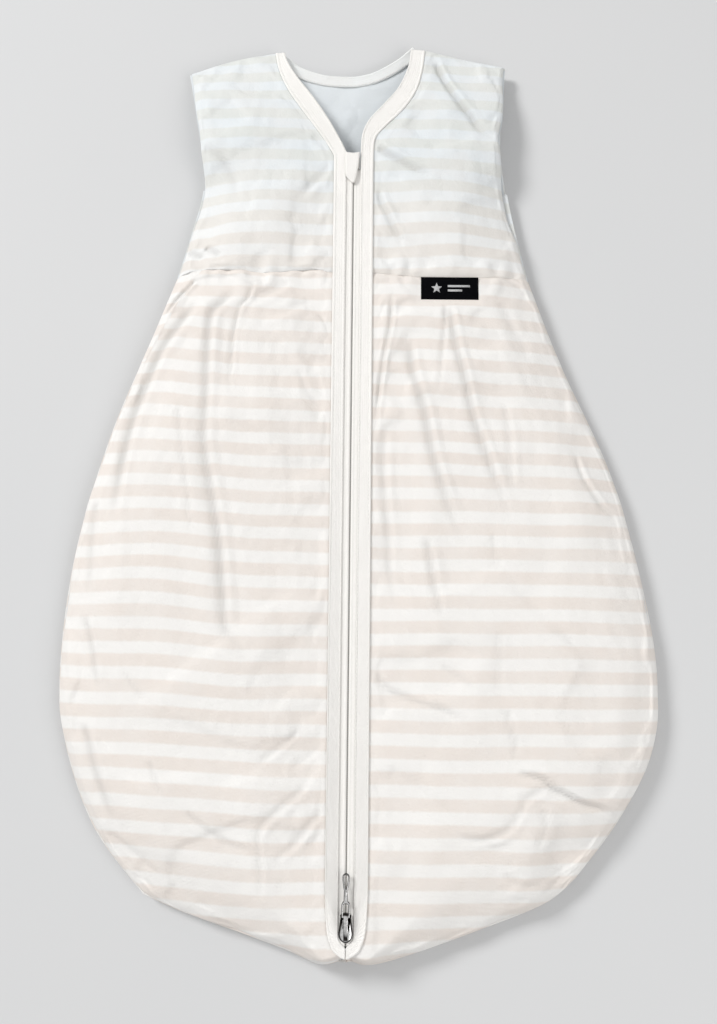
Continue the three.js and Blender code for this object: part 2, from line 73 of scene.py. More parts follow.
# Plan outline, half by half, as points on smooth curves.
HALVES = {
    "left": {
        "sign": -1,
        "side": [(-143.5, -306), (-181.5, -259.5), (-206, -197), (-211.5, -140), (-204, -58),
                 (-183, 27), (-157, 99), (-137.5, WAIST_Y)],
        "foot": [(-143.5, -306), (-115, -317.8), (-75, -331), (-42, -342.3), (-17, -351.7), (0, -347.6)],
        "armhole": [(-137.5, WAIST_Y), (-127, 193), (-119.5, 229), (-123, 265), (-128, 297),
                    (-134, 328)],
        "shoulder": [(-134, 328), (-94, 341), (-59, 348)],
        "back_neck": [(-59, 348), (-44, 336.5), (-23, 329.5), (0, 328.5)],
        "v_edge": [(-EDGE_X, 252), (-10, 262), (-20, 281), (-33, 302), (-46, 321), (-54, 336),
                   (-57, 346.6)],
        "v_band": [(-BAND_X, 249), (-22, 261), (-33, 277), (-44, 293), (-54, 310), (-61, 328),
                   (-64.5, 345.2)],
        "waist": [(-137.5, WAIST_Y), (-117, 155.6), (-98, 155.3), (-68, 153), (-54, 153.4),
                  (-30, 155.6), (-17, 153.4), (0, WAIST_Y)],
        "foot_band": [(-1.4, -344.2), (-6.2, -341.2), (-10, -336.5), (-13.2, -325), (-14.6, -300)],
        "facing_top": 346.8,
        "facing_join": None,
    },
    "right": {
        "sign": 1,
        "side": [(162, -293), (194, -253), (219, -208), (226, -160), (220, -98), (198, -4),
                 (161, 86), (137.5, WAIST_Y)],
        "foot": [(162, -293), (140, -310), (94, -328), (45, -345), (16, -352), (0, -347.6)],
        "armhole": [(137.5, WAIST_Y), (127.5, 197), (121, 235), (118.2, 270), (120, 305),
                    (122.4, 336)],
        "shoulder": [(122.4, 336), (94, 341.5), (46.6, 353.5)],
        "back_neck": [(46.6, 353.5), (30, 341), (14, 332), (0, 328.5)],
        "v_edge": [(EDGE_X, 252), (6.5, 268), (12, 281), (24, 296), (35, 311), (43, 332),
                   (45.5, 351.3)],
        "v_band": [(BAND_X, 249), (17, 264), (24, 274), (38, 289), (48.5, 306), (54, 325),
                   (57, 348.3)],
        "waist": [(137.5, WAIST_Y), (121, 151.6), (96, 149.6), (70, 149.4), (46, 150.2), (18, 153),
                  (0, WAIST_Y)],
        "foot_band": [(1.6, -344.2), (6.8, -341.2), (10.6, -336.5), (13.8, -325), (15.2, -300)],
        "facing_top": 350.5,
        "facing_join": 292,  # where the facing is pieced
    },
}
# Inner edge of the right facing at the foot: the left one is its mirror image.
FOOT_EDGE = [(0.2, -343.6), (0.2, -339), (0.6, -336.3), (3.6, -333.4), (5.1, -330.2), (EDGE_X, -324)]
ZIP_SHARE = 0.45  # share of the yoke's inner edge that runs beside the zip
FOOT_SHARE = 0.915  # where the foot's curve passes the edge of the facing
NECK_SHARE = 0.497  # share of the back yoke's top that is shoulder

# Folds of each panel: points along the crease from the neck towards the foot, how high the cloth
# stands to the right of it, how deep the crease is, the width, and how far the stripes slip.
FOLDS = {
    "yoke_right": [
        ([(65, 338), (69, 326), (76, 310), (84, 296), (92, 285), (99, 274),
          (114, 263)], 1.2, 2.9, 2.6, 1.0),
        ([(19, 258), (25, 252), (36, 245), (44, 240), (52, 236), (64, 233)], 1.4, 2.2, 3.0, 1.0),
        ([(18, 221), (22, 211), (26, 202), (30, 192), (35, 183), (39, 173)], 1.0, 1.6, 2.6, 0.6),
    ],
    "yoke_left": [
        ([(-129, 173), (-122, 169), (-115, 167)], 0.8, 1.6, 2.4, 0.6),
        ([(-115, 175), (-109, 171), (-102, 166)], 0.8, 1.5, 2.4, 0.4),
        ([(-19, 243), (-26, 233), (-32, 226), (-43, 215)], 0.5, 1.1, 3.5, 0.0),
        ([(-32, 268), (-25, 262), (-19, 253)], 0.5, 1.0, 3.0, 0.0),
        ([(-119, 256), (-111, 252), (-103, 246), (-95, 230), (-93, 213)], 0.5, 1.0, 4.5, 0.0),
    ],
    "skirt_right": [
        ([(30, 136), (29, 112), (25, 91), (22, 70), (19, 44), (17, 16)], 0.9, 1.6, 2.0, 0.0),
        ([(25, 32), (25, -12), (28, -47), (29, -76), (33, -108)], 0.7, 1.0, 3.4, 0.0),
        ([(44, 99), (46, 73), (55, 42), (61, 8), (70, -22), (83, -61)], 1.5, 2.2, 3.4, 0.8),
        ([(71, 129), (70, 107), (68, 89), (65, 54)], 0.6, 1.4, 1.9, 0.6),
        ([(73, 129), (76, 107), (83, 76), (91, 42), (100, 14), (109, -14), (120, -45)], 1.5, 2.2, 3.0, 1.2),
        ([(114, 49), (117, 29), (118, 3), (120, -20)], 0.8, 1.2, 3.0, 0.0),
        ([(56, -53), (59, -71), (64, -98), (68, -111)], 0.8, 1.4, 3.2, 0.5),
        ([(104, -49), (106, -63), (108, -76)], 0.5, 0.9, 3.0, 0.0),
        ([(168, 12), (173, -5), (180, -17), (190, -30), (200, -37)], 0.8, 1.3, 2.2, 0.6),
        ([(113, 132), (125, 105), (136, 87)], 0.4, 0.7, 5.0, 0.0),
        ([(20, -151), (30, -163), (54, -172), (68, -176), (85, -186)], 0.8, 1.4, 2.4, 0.5),
        ([(66, -145), (78, -152), (91, -163)], 0.5, 0.7, 3.0, 0.0),
        ([(107, -119), (107, -146), (106, -163)], 0.4, 0.6, 3.0, 0.0),
        ([(112, -174), (115, -190), (118, -199), (117, -213)], 0.6, 1.1, 3.0, 0.0),
        ([(118, -219), (136, -223), (143, -229), (153, -234), (166, -240), (180, -244),
          (194, -251)], 1.3, 2.0, 2.4, 0.8),
        ([(140, -229), (126, -236), (120, -246), (111, -258), (95, -264), (76, -263)], 0.8, 1.3, 2.8, 0.5),
        ([(137, -243), (138, -258), (132, -271)], 0.5, 0.9, 3.0, 0.0),
        ([(111, -287), (120, -295), (138, -295)], 0.3, 0.6, 3.0, 0.0),
        ([(144, -121), (155, -122), (161, -133)], 0.3, 0.6, 2.2, 0.0),
    ],
    "skirt_left": [
        ([(-120, 131), (-133, 113), (-147, 91), (-156, 67), (-166, 37), (-172, 5), (-175, -26),
          (-176, -44)], 1.6, 2.4, 4.6, 0.8),
        ([(-88, 140), (-99, 130), (-108, 118), (-110, 86), (-110, 50), (-110, 20), (-104, -14),
          (-96, -56), (-92, -96), (-89, -120), (-77, -137), (-75, -156)], 1.3, 2.2, 3.8, 0.7),
        ([(-76, 146), (-80, 132), (-86, 124), (-90, 103), (-91, 78), (-92, 49)], 0.8, 1.6, 1.9, 0.5),
        ([(-130, 46), (-126, 16), (-120, -24), (-116, -59)], 0.6, 0.9, 2.6, 0.0),
        ([(-121, 148), (-136, 133), (-146, 120)], 0.8, 1.6, 2.0, 0.0),
        ([(-190, -26), (-192, -53), (-191, -100)], 0.8, 1.0, 4.0, 0.0),
        ([(-49, 146), (-65, 136), (-82, 129)], 0.8, 1.0, 4.0, 0.0),
        ([(-32, 131), (-50, 122), (-66, 119)], 0.5, 0.6, 4.0, 0.0),
        ([(-41, 75), (-33, 57), (-22, 44)], 0.4, 0.6, 3.0, 0.0),
        ([(-193, -111), (-186, -134), (-183, -148), (-178, -166)], 1.0, 1.3, 3.0, 0.5),
        ([(-190, -187), (-185, -202), (-182, -214), (-177, -227), (-169, -246),
          (-164, -260)], 1.0, 1.3, 4.0, 0.5),
        ([(-161, -150), (-153, -162), (-145, -172)], 0.4, 0.7, 2.0, 0.0),
        ([(-140, -213), (-135, -226), (-128, -238)], 0.5, 0.9, 2.6, 0.0),
        ([(-113, -247), (-103, -255), (-83, -269), (-61, -274)], 0.5, 0.9, 2.6, 0.0),
        ([(-35, -192), (-48, -203), (-68, -218)], 0.6, 1.1, 2.2, 0.3),
        ([(-15, -198), (-29, -210), (-42, -218)], 0.3, 0.6, 2.2, 0.0),
        ([(-27, -226), (-38, -237), (-56, -253), (-62, -264), (-60, -293),
          (-61, -308)], 0.8, 1.2, 2.8, 0.0),
        ([(-17, -248), (-24, -253), (-30, -261), (-39, -271), (-50, -279)], 0.7, 1.2, 2.8, 0.0),
    ],
}
FOLD_SAMPLES = 90
RIDGE_GAIN, VALLEY_GAIN = 1.1, 1.3
FULL_SHADE_DEPTH = 2.2  # depth of a valley at which the painted crease shade is darkest
FOLD_REACH, SLIP_REACH, SHADE_REACH = 6, 5, 0.7  # how far a fold is felt, its stripes slip and the painted shade of its crease reaches, in its widths
RIDGE_PLACE = 1.5  # how far beside the crease the cloth stands highest, in its widths
FOLD_START, FOLD_END = 0.12, 0.3  # shares of its length over which a fold comes and goes

random = np.random.default_rng(11)


# ---- curves, grids and fields

def spline(points, t):
    """Points at t, from 0 to 1, on a smooth curve through the given ones (Catmull-Rom)."""
    p = np.asarray(points, float)
    last = len(p) - 1
    place = np.clip(np.asarray(t, float), 0, 1) * last
    k = np.minimum(place.astype(int), last - 1)
    w = (place - k)[..., None]
    p0, p1, p2, p3 = p[np.maximum(k - 1, 0)], p[k], p[k + 1], p[np.minimum(k + 2, last)]
    v0, v1 = (p2 - p0) / 2, (p3 - p1) / 2
    return (2 * p1 - 2 * p2 + v0 + v1) * w**3 + (3 * p2 - 3 * p1 - 2 * v0 - v1) * w**2 + v0 * w + p1


def traced(points, count=60):
    """The whole of a smooth curve, as a path of many points."""
    return spline(points, np.linspace(0, 1, count))


def line(a, b, t):
    a, b = np.asarray(a, float), np.asarray(b, float)
    return a + (b - a) * np.asarray(t, float)[..., None]


def patch(bottom, top, outer, inner, u, v):
    """Plan points of a patch between four edges: rows along v, columns along u (Coons patch)."""
    uu, vv = np.meshgrid(u, v)
    uu, vv = uu[..., None], vv[..., None]
    b, t, o, i = bottom(u)[None], top(u)[None], outer(v)[:, None], inner(v)[:, None]
    corner = [edge(np.array([float(end)]))[0] for edge in (bottom, top) for end in (0, 1)]
    low = corner[0] + (corner[1] - corner[0]) * uu
    high = corner[2] + (corner[3] - corner[2]) * uu
    return b + (t - b) * vv + o + (i - o) * uu - (low + (high - low) * vv)


def ease(count, strength=0.8):
    """Steps from 0 to 1 that are closer together at both ends."""
    t = np.linspace(0, 1, count)
    return t - strength * np.sin(2 * np.pi * t) / (2 * np.pi)


def smooth(t):
    t = np.clip(t, 0, 1)
    return t * t * (3 - 2 * t)


def rise(distance, reach):
    return np.sin(np.pi / 2 * np.clip(distance / reach, 0, 1))


def rounding(distance, radius):
    """Quarter circle: 0 at an edge, 1 from one radius in."""
    t = 1 - np.clip(distance / radius, 0, 1)
    return np.sqrt(np.clip(1 - t * t, 0, 1))


def lerp(a, b, t):
    return a + (b - a) * t


def distance_to(points, path):
    """Distance in plan from each grid point to a path."""
    flat = points.reshape(-1, 2)
    best = np.full(len(flat), 1e9)
    for a, b in zip(path[:-1], path[1:]):
        along = b - a
        t = np.clip(((flat - a) @ along) / max(along @ along, 1e-9), 0, 1)
        best = np.minimum(best, np.linalg.norm(flat - a - t[:, None] * along, axis=1))
    return best.reshape(points.shape[:-1])


def ripples(points, count, shortest, longest, stretch=1.0):
    """A soft random surface of about unit height, longer along y by the stretch."""
    x, y = points[..., 0], points[..., 1] / stretch
    total = np.zeros(x.shape)
    for _ in range(count):
        length = shortest * (longest / shortest) ** random.random()
        angle = random.random() * np.pi
        phase = random.random() * 2 * np.pi
        total += np.sin((x * np.cos(angle) + y * np.sin(angle)) * 2 * np.pi / length + phase)
    return total / math.sqrt(count / 2)


def hill(x, width):
    """A smooth bump: 1 where x is 0, and next to nothing two widths away."""
    return np.exp(-((x / width) ** 2))


def unit(vectors):
    return vectors / np.linalg.norm(vectors, axis=-1, keepdims=True)


def lengths(path):
    """How far along a path each of its points lies."""
    return np.append(0, np.cumsum(np.linalg.norm(np.diff(path, axis=0), axis=1)))


def fold_field(points, folds):
    """Height of the folds at each grid point, how far the stripes slip there, and how much painted shade
    its creases get.
    """
    height, slip, crease_shade = (np.zeros(points.shape[:-1]) for _ in range(3))
    t = np.linspace(0, 1, FOLD_SAMPLES)
    for line_points, ridge, valley, width, slide in folds:
        path = spline(line_points, t)
        tangent = unit(np.gradient(path, axis=0))
        reach = FOLD_REACH * width
        near = np.all((points > path.min(0) - reach) & (points < path.max(0) + reach), axis=-1)
        away = points[near][:, None] - path[None]
        nearest = np.linalg.norm(away, axis=2).argmin(1)
        gap = away[np.arange(len(nearest)), nearest]
        s = (tangent[nearest, 0] * gap[:, 1] - tangent[nearest, 1] * gap[:, 0]) / width
        taper = smooth(t[nearest] / FOLD_START) * smooth((1 - t[nearest]) / FOLD_END)
        sunk = valley * hill(s, 1) * taper
        raised_part = ridge * hill(s - RIDGE_PLACE, 1) * taper
        height[near] += RIDGE_GAIN * raised_part - VALLEY_GAIN * sunk
        slip[near] += slide * taper * np.tanh(s) * hill(s, SLIP_REACH)
        # A narrow band along each valley gets painted shade, darkest where the valley is deepest.
        fine = valley * hill(s, SHADE_REACH) * taper
        crease_shade[near] = np.maximum(crease_shade[near], np.clip(fine / FULL_SHADE_DEPTH, 0, 1))
    return height, slip, crease_shade


# ---- meshes

def border(grid):
    """The outermost points of a grid, once round."""
    return np.concatenate([grid[0, :-1], grid[:-1, -1], grid[-1, :0:-1], grid[:0:-1, 0]])


def quads(rows, columns):
    """Faces of a grid of points. They look up when columns run to +x and rows to +y."""
    first = (np.arange(rows - 1)[:, None] * columns + np.arange(columns - 1)[None]).ravel()
    return np.stack([first, first + 1, first + columns + 1, first + columns], 1)


def tube_faces(rings, sides, first=0):
    """Faces of a closed tube made of rings of points, counted from the first point."""
    faces = []
    for start in range(first, first + (rings - 1) * sides, sides):
        for s in range(sides):
            a, b = start + s, start + (s + 1) % sides
            faces.append((a, b, b + sides, a + sides))
    last = first + (rings - 1) * sides
    return faces + [range(first + sides - 1, first - 1, -1), range(last, last + sides)]


def placed(name, data):
    """An object in the scene, for a mesh, a lamp or a camera."""
    made = bpy.data.objects.new(name, data)
    bpy.context.collection.objects.link(made)
    return made


def riding(piece, body, nodes):
    """Makes a piece move with a body and stand for CAD nodes."""
    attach(piece, body)
    if nodes:
        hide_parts(*nodes)
    return piece


def mesh_piece(name, points, faces, material, body, nodes=(), cloth=None, crease_shade=None):
    """A smooth mesh piece, from points in millimetres, that rides on a body."""
    mesh = bpy.data.meshes.new(name)
    mesh.from_pydata((np.asarray(points) * MM).tolist(), [], [list(map(int, f)) for f in faces])
    # Besides the cloth coordinates, a mesh can carry the painted shade of its creases.
    for key, kind, field, values in (("cloth", "FLOAT_VECTOR", "vector", cloth),
                                     ("painted_crease_shade", "FLOAT", "value", crease_shade)):
        if values is not None:
            layer = mesh.attributes.new(key, kind, "POINT")
            layer.data.foreach_set(field, np.asarray(values, np.float32).ravel())
    mesh.polygons.foreach_set("use_smooth", [True] * len(mesh.polygons))
    mesh.materials.append(material)
    mesh.update()
    return riding(placed(name, mesh), body, nodes)


def grid_piece(name, plan, top_z, low_z, material, body, nodes=(), cloth=None, crease_shade=None):
    """A closed shell between two heights over a plan grid whose rows run to +y.

    Its columns may run either way. Cloth, and the painted shade in the creases, hold a value for each point
    of the grid.
    """
    turn = slice(None, None, 1 if plan[0, 0, 0] < plan[0, -1, 0] else -1)
    rows, columns = plan.shape[:2]
    count = rows * columns
    points = np.concatenate([np.dstack([plan, z])[:, turn].reshape(-1, 3) for z in (top_z, low_z)])
    upper = quads(rows, columns)
    rim = border(np.arange(count).reshape(rows, columns))
    following = np.roll(rim, -1)
    wall = np.stack([rim + count, following + count, following, rim], 1)
    if cloth is not None:
        cloth = np.tile(cloth[:, turn].reshape(-1, 3), (2, 1))
    if crease_shade is not None:
        crease_shade = np.append(crease_shade[:, turn], np.zeros(count))
    faces = np.concatenate([upper, upper[:, ::-1] + count, wall])
    return mesh_piece(name, points, faces, material, body, nodes, cloth, crease_shade)


# ---- materials

class Value:
    """A result of a shader node. A formula with such values adds the nodes that work it out."""

    def __init__(self, tree, kind, inputs=None, output=0, **settings):
        made = tree.nodes.new("ShaderNode" + kind)
        for key, setting in settings.items():
            setattr(made, key, setting)
        for key, value in (inputs or {}).items():
            if isinstance(value, Value):
                tree.links.new(value.socket, made.inputs[key])
            elif value is not None:
                made.inputs[key].default_value = value
        self.tree = tree
        self.socket = made.outputs[output]

    def math(self, operation, *others):
        return Value(self.tree, "Math", dict(enumerate((self, *others))), operation=operation)

    def __add__(self, other):
        return self.math("ADD", other)

    def __sub__(self, other):
        return self.math("SUBTRACT", other)

    def __mul__(self, other):
        return self.math("MULTIPLY", other)

    def __abs__(self):
        return self.math("ABSOLUTE")

    def sine(self):
        return self.math("SINE")

    def part(self, axis):
        """One coordinate of a vector."""
        return Value(self.tree, "SeparateXYZ", {0: self}, axis)

    def noise(self, scale, detail):
        """Soft noise at the place that a vector gives."""
        inputs = {"Vector": self, "Scale": scale, "Detail": detail}
        return Value(self.tree, "TexNoise", inputs, "Fac")

    def spread(self, low, high, to_low=0.0, to_high=1.0):
        """From one range to another, with soft ends."""
        inputs = dict(enumerate((self, low, high, to_low, to_high)))
        return Value(self.tree, "MapRange", inputs, interpolation_type="SMOOTHSTEP")

    def mix(self, a, b):
        """The colour a where the value is 0, and b where it is 1."""
        return Value(self.tree, "Mix", {0: self, 6: a, 7: b}, 2, data_type="RGBA")


def new_material(name, **sockets):
    """A material and its nodes, with constants set on the shader's own sockets."""
    material = bpy.data.materials.new(name)
    material.use_nodes = True
    tree = material.node_tree
    for socket, value in sockets.items():
        tree.nodes["Principled BSDF"].inputs[socket.replace("_", " ")].default_value = value
    return material, tree


def paint(tree, colour, bumps=(), roughness=None):
    """Links the shader to its colour and roughness, and to bumps given as height, distance in
    metres and strength, the coarsest first."""
    normal = None
    for height, distance, strength in bumps:
        inputs = {"Strength": strength, "Distance": distance, "Height": height, "Normal": normal}
        normal = Value(tree, "Bump", inputs)
    for socket, value in (("Base Color", colour), ("Roughness", roughness), ("Normal", normal)):
        if value is not None:
            tree.links.new(value.socket, tree.nodes["Principled BSDF"].inputs[socket])


WALE, COURSE = 1.1, 0.9  # width and height of a knitted loop, in millimetres
LEAN = 0.6 * math.pi  # how far round its course a leg of a loop leans
STRIPE_EDGE = STRIPE_BEIGE / 2 / STRIPE_PITCH
RIB_SHADE = 0.1  # how much painted shade darkens the grooves between ribs
# Painted shade in the creases: the dark colour it mixes in, and its largest share.
CREASE_SHADE_COLOUR, CREASE_SHADE_SHARE = (0.40, 0.39, 0.375, 1), 0.42


def knit_height(x, y):
    """Rows of knitted loops: legs that lean left and right in turn."""
    across = abs((x * (2 * math.pi / WALE)).sine())
    loops = (y * (2 * math.pi / COURSE) + across * LEAN).sine()
    return loops + across * 1.2


def jersey(name, colour, shade, colour_cool=None, stripes=None, knit=1.0, rib=None):
    """Cotton jersey: knitted loops, mottled yarn, painted shade in the creases, and if asked for soft-edged
    stripes or ribs with painted shade between them.
    """
    material, tree = new_material(name, Roughness=0.88, Specular_IOR_Level=0.25,
                                  Sheen_Weight=0.18, Sheen_Roughness=0.45)
    place = Value(tree, "Attribute", output="Vector", attribute_name="cloth")
    x, y, tint = (place.part(axis) for axis in range(3))
    plain = tint.mix(colour, colour_cool) if colour_cool else colour
    if stripes:
        wobble = place.noise(0.35, 2.0) - 0.5
        turn = (y + wobble * 1.1) * (1 / STRIPE_PITCH)
        off = abs((turn + 0.5).math("FRACT") - 0.5)
        inside = off.spread(STRIPE_EDGE - STRIPE_BLUR, STRIPE_EDGE + STRIPE_BLUR, 1.0, 0.0)
        plain = inside.mix(plain, tint.mix(*stripes))
    broad = place.noise(0.028, 3.0).spread(0.35, 0.7, 0.0, 0.3)
    fine = place.noise(0.9, 4.0).spread(0.35, 0.75, 0.0, 0.16)
    # Painted shade where the folds crease the cloth.
    crease_shading = Value(tree, "Attribute", output="Fac", attribute_name="painted_crease_shade") * CREASE_SHADE_SHARE
    final = crease_shading.mix(fine.mix(broad.mix(plain, shade), shade), CREASE_SHADE_COLOUR)
    bumps = []
    if rib:
        wander = place.noise(0.4, 2.0) * 0.8
        ridge = ((x + wander) * (2 * math.pi / rib)).sine()
        # Painted shade in the grooves between the ribs.
        final = ridge.spread(-1.0, 0.2, RIB_SHADE, 0.0).mix(final, shade)
        bumps.append((ridge, 0.00012, 0.35))
    bumps += [
        (place.noise(0.16, 3.0), 0.0011, 0.35),
        (place.noise(0.75, 3.0), 0.0004, 0.5),
        (knit_height(x, y), 0.00012 * knit, 0.55),
    ]
    paint(tree, final, bumps)
    return material


def woven(name, colour, shade, pitch, roughness, sheen, specular=0.5):
    """Plain weave of the given thread pitch in millimetres, in object coordinates."""
    material, tree = new_material(name, Roughness=roughness, Sheen_Weight=sheen,
                                  Specular_IOR_Level=specular)
    place = Value(tree, "TexCoord", output="Object")
    turn = 2 * math.pi / (pitch * MM)
    weave = (place.part(0) * turn).sine() * (place.part(1) * (turn * 0.8)).sine()
    streak = place.noise(900, 3.0).spread(0.3, 0.7, 0.0, 0.45)
    crossing = weave.spread(-0.9, 0.9, 0.0, 0.35)
    bumps = [(place.noise(400, 2.0), 0.0002, 0.3), (weave, 0.00012, 0.8)]
    paint(tree, streak.math("MAXIMUM", crossing).mix(colour, shade), bumps)
    return material


def hard(name, colour, shade, flank_shade, roughness, metallic, grain):
    """Moulded plastic or plated metal: small dents and uneven polish, with painted shade on the flanks,
    where faces that tilt away from up take the flank colour.
    """
    material, tree = new_material(name, Metallic=metallic)
    place = Value(tree, "TexCoord", output="Object")
    up = Value(tree, "TexCoord", output="Normal").part(2)
    blotch = place.noise(grain, 4.0)
    tone = blotch.spread(0.35, 0.7).mix(colour, shade)
    polish = place.noise(grain * 4, 3.0).spread(0.3, 0.75, roughness * 0.7, roughness * 1.5)
    # Faces that tilt away from up get the flank colour: painted shade and painted dark reflection.
    paint(tree, up.spread(0.9, 1.0, 1.0, 0.0).mix(tone, flank_shade), [(blotch, 0.00002, 0.25)], polish)
    return material


STRIPED = jersey("striped_jersey", (0.875, 0.86, 0.835, 1), (0.83, 0.805, 0.775, 1),
                 (0.755, 0.795, 0.815, 1), ((0.805, 0.742, 0.688, 1), (0.715, 0.735, 0.71, 1)))
LINING = jersey("lining_jersey", (0.73, 0.765, 0.785, 1), (0.69, 0.725, 0.745, 1))
FACING = jersey("facing_jersey", (0.955, 0.935, 0.90, 1), (0.87, 0.845, 0.81, 1),
                (0.90, 0.92, 0.915, 1), knit=1.6, rib=1.7)
TAPE = woven("zip_tape", (0.93, 0.91, 0.875, 1), (0.84, 0.82, 0.78, 1), 0.7, 0.75, 0.1)
LABEL = woven("label_weave", (0.0015, 0.0015, 0.002, 1), (0.006, 0.006, 0.008, 1), 0.4, 0.8, 0.0, 0.03)
LABEL_THREAD = woven("label_thread", (0.62, 0.62, 0.62, 1), (0.42, 0.42, 0.43, 1), 0.4, 0.6, 0.2)
THREAD = woven("sewing_thread", (0.90, 0.88, 0.85, 1), (0.80, 0.78, 0.74, 1), 0.5, 0.6, 0.2)
# The third colour of each hard material is the painted shade on its flanks.
NYLON = hard("zip_nylon", (0.80, 0.78, 0.74, 1), (0.70, 0.68, 0.64, 1), (0.62, 0.60, 0.56, 1),
             0.4, 0.0, 500)
METAL = hard("slider_metal", (0.95, 0.945, 0.94, 1), (0.74, 0.73, 0.72, 1),
             (0.04, 0.037, 0.035, 1), 0.12, 1.0, 700)


# ---- the front panels

LABEL_RECT = (52.5, 96.5, 131.5, 149.5)
LABEL_PRESS = 6.0  # how far round the label the cloth is still flattened
PATCH_COLUMNS = 132
STRIP_COLUMNS = 4
SKIRT_ROWS = 300
YOKE_ROWS = 140
FOOT_GAP_Y, FOOT_GAP_TALL = -344.0, 7.0  # where the two halves part above the foot
UNDER_FACING = 0.8  # how far under the facing a yoke reaches, as a share of the facing's width
WAIST_REACH = 22.0  # how far from the waist its waver is felt
ARM_SET_BACK = {-1: 0.8, 1: 3.6}  # how far the front's armhole lies inside the back's
ARM_SET_FROM, ARM_SET_TO, ARM_SET_FADE, ARM_SET_REACH = 180.0, 290.0, 25.0, 14.0
NECK_BEND_Y = 250.0  # where the facings turn from the zip to the neck


def zip_edge(points, t):
    """Inner edge of a yoke: straight beside the zip, then along the V of the neck."""
    corner = np.array(points[0], float)
    straight = line((corner[0], WAIST_Y), corner, np.clip(t / ZIP_SHARE, 0, 1))
    curved = spline(points, (t - ZIP_SHARE) / (1 - ZIP_SHARE))
    return np.where((t <= ZIP_SHARE)[:, None], straight, curved)


def skirt_plan(half, u, v):
    side, foot = half["side"], half["foot"]
    waist_side, waist_band = side[-1], (half["sign"] * BAND_X, WAIST_Y)
    foot_band = spline(foot, np.array(FOOT_SHARE))
    return patch(lambda t: spline(foot, t * FOOT_SHARE), lambda t: line(waist_side, waist_band, t),
                 lambda t: spline(side, t), lambda t: line(foot_band, waist_band, t), u, v)


def yoke_plan(half, u, v):
    waist_side, waist_band = half["side"][-1], (half["sign"] * BAND_X, WAIST_Y)
    shoulder, band_top = half["shoulder"], np.array(half["v_band"][-1], float)
    share = (band_top[0] - shoulder[0][0]) / (shoulder[-1][0] - shoulder[0][0])

    def top(t):
        return np.where((t < 1)[:, None], spline(shoulder, t * share), band_top)

    return patch(lambda t: line(waist_side, waist_band, t), top, lambda t: spline(half["armhole"], t),
                 lambda t: zip_edge(half["v_band"], t), u, v)


def with_strip(plan, inner, columns):
    """Adds columns to a plan grid, from its last one to an inner edge."""
    strip = [lerp(plan[:, -1], inner, k / columns) for k in range(1, columns + 1)]
    return np.concatenate([plan, np.stack(strip, 1)], 1)


def front_plan(half, kind, rows):
    """Plan grid of a front panel, from its outer edge to just under the facing."""
    u, v = ease(PATCH_COLUMNS, 0.6), ease(rows, 0.6)
    plan = (skirt_plan if kind == "skirt" else yoke_plan)(half, u, v)
    plan[..., 1] += (waist_y(half, plan[..., 0]) - WAIST_Y) * hill(plan[..., 1] - WAIST_Y, WAIST_REACH)
    if kind == "yoke":
        plan[..., 0] -= half["sign"] * set_back(half, plan)
        return with_strip(plan, lerp(plan[:, -1], zip_edge(half["v_edge"], v), UNDER_FACING), STRIP_COLUMNS)
    inner = plan[:, -1].copy()
    apart = smooth((inner[:, 1] - FOOT_GAP_Y) / FOOT_GAP_TALL)
    inner[:, 0] = half["sign"] * lerp(PANEL_FOOT_X, PANEL_INNER_X, apart)
    return with_strip(plan, inner, STRIP_COLUMNS)


def height_along(points, x, count):
    """y of a curve that runs across, at the given x."""
    path = traced(points, count)
    order = np.argsort(path[:, 0])
    return np.interp(x, path[order, 0], path[order, 1])


def waist_y(half, x):
    return height_along(half["waist"], x, 80)


def set_back(half, plan):
    """How far a yoke's points are drawn in beside the armhole."""
    y = plan[..., 1]
    side = distance_to(plan, traced(half["armhole"]))
    reach = smooth((y - ARM_SET_FROM) / ARM_SET_FADE) * smooth((ARM_SET_TO - y) / ARM_SET_FADE)
    return ARM_SET_BACK[half["sign"]] * reach * hill(side, ARM_SET_REACH)


def arm_open(y, tip_y):
    share = np.clip((y - ARMPIT_Y) / (tip_y - ARMPIT_Y), 0, 1)
    return 0.95 * np.minimum(1, 1.4 * np.sin(np.pi * share))


def seams(half, plan, kind):
    """Distances of a plan grid from the panel's side, foot or shoulder, and the arm's opening."""
    x, y = plan[..., 0], plan[..., 1]
    far = np.full(x.shape, 1e6)
    whole_side = np.concatenate([traced(half["side"]), traced(half["armhole"])])
    if kind == "skirt":
        return distance_to(plan, whole_side), distance_to(plan, traced(half["foot"])), far, 0 * x
    side = distance_to(plan + set_back(half, plan)[..., None] * [half["sign"], 0], whole_side)
    shoulder = np.maximum(height_along(half["shoulder"], x, 60) - y, 0)
    return side, far, shoulder, arm_open(y, half["armhole"][-1][1])


def loft(x, side, foot, shoulder, arm):
    """How far the front has risen from its seams, from 0 to 1."""
    from_side = rise(side, SIDE_REACH)
    reach = lerp(8.0, SIDE_REACH, np.clip((np.abs(x) - BAND_X) / 60, 0, 1))
    return (1 - (1 - from_side) * (1 - arm)) * rise(foot, reach) * rise(shoulder, SHOULDER_REACH)


def facing_height(half, y):
    """Underside of a facing: it follows the front down to the foot and to the shoulder."""
    left = half["facing_top"] - y
    full = rise(y - FOOT_Y + 2, 8.0) * rise(left + 0.5, SHOULDER_REACH)
    z = FACING_Z - (FULL_TOP_Z - lerp(SEAM_TOP_Z, FULL_TOP_Z, full)) - 0.7 * smooth((y - NECK_BEND_Y) / 15)
    return z - 3.4 * (1 - rounding(left + 0.7, 6.0))


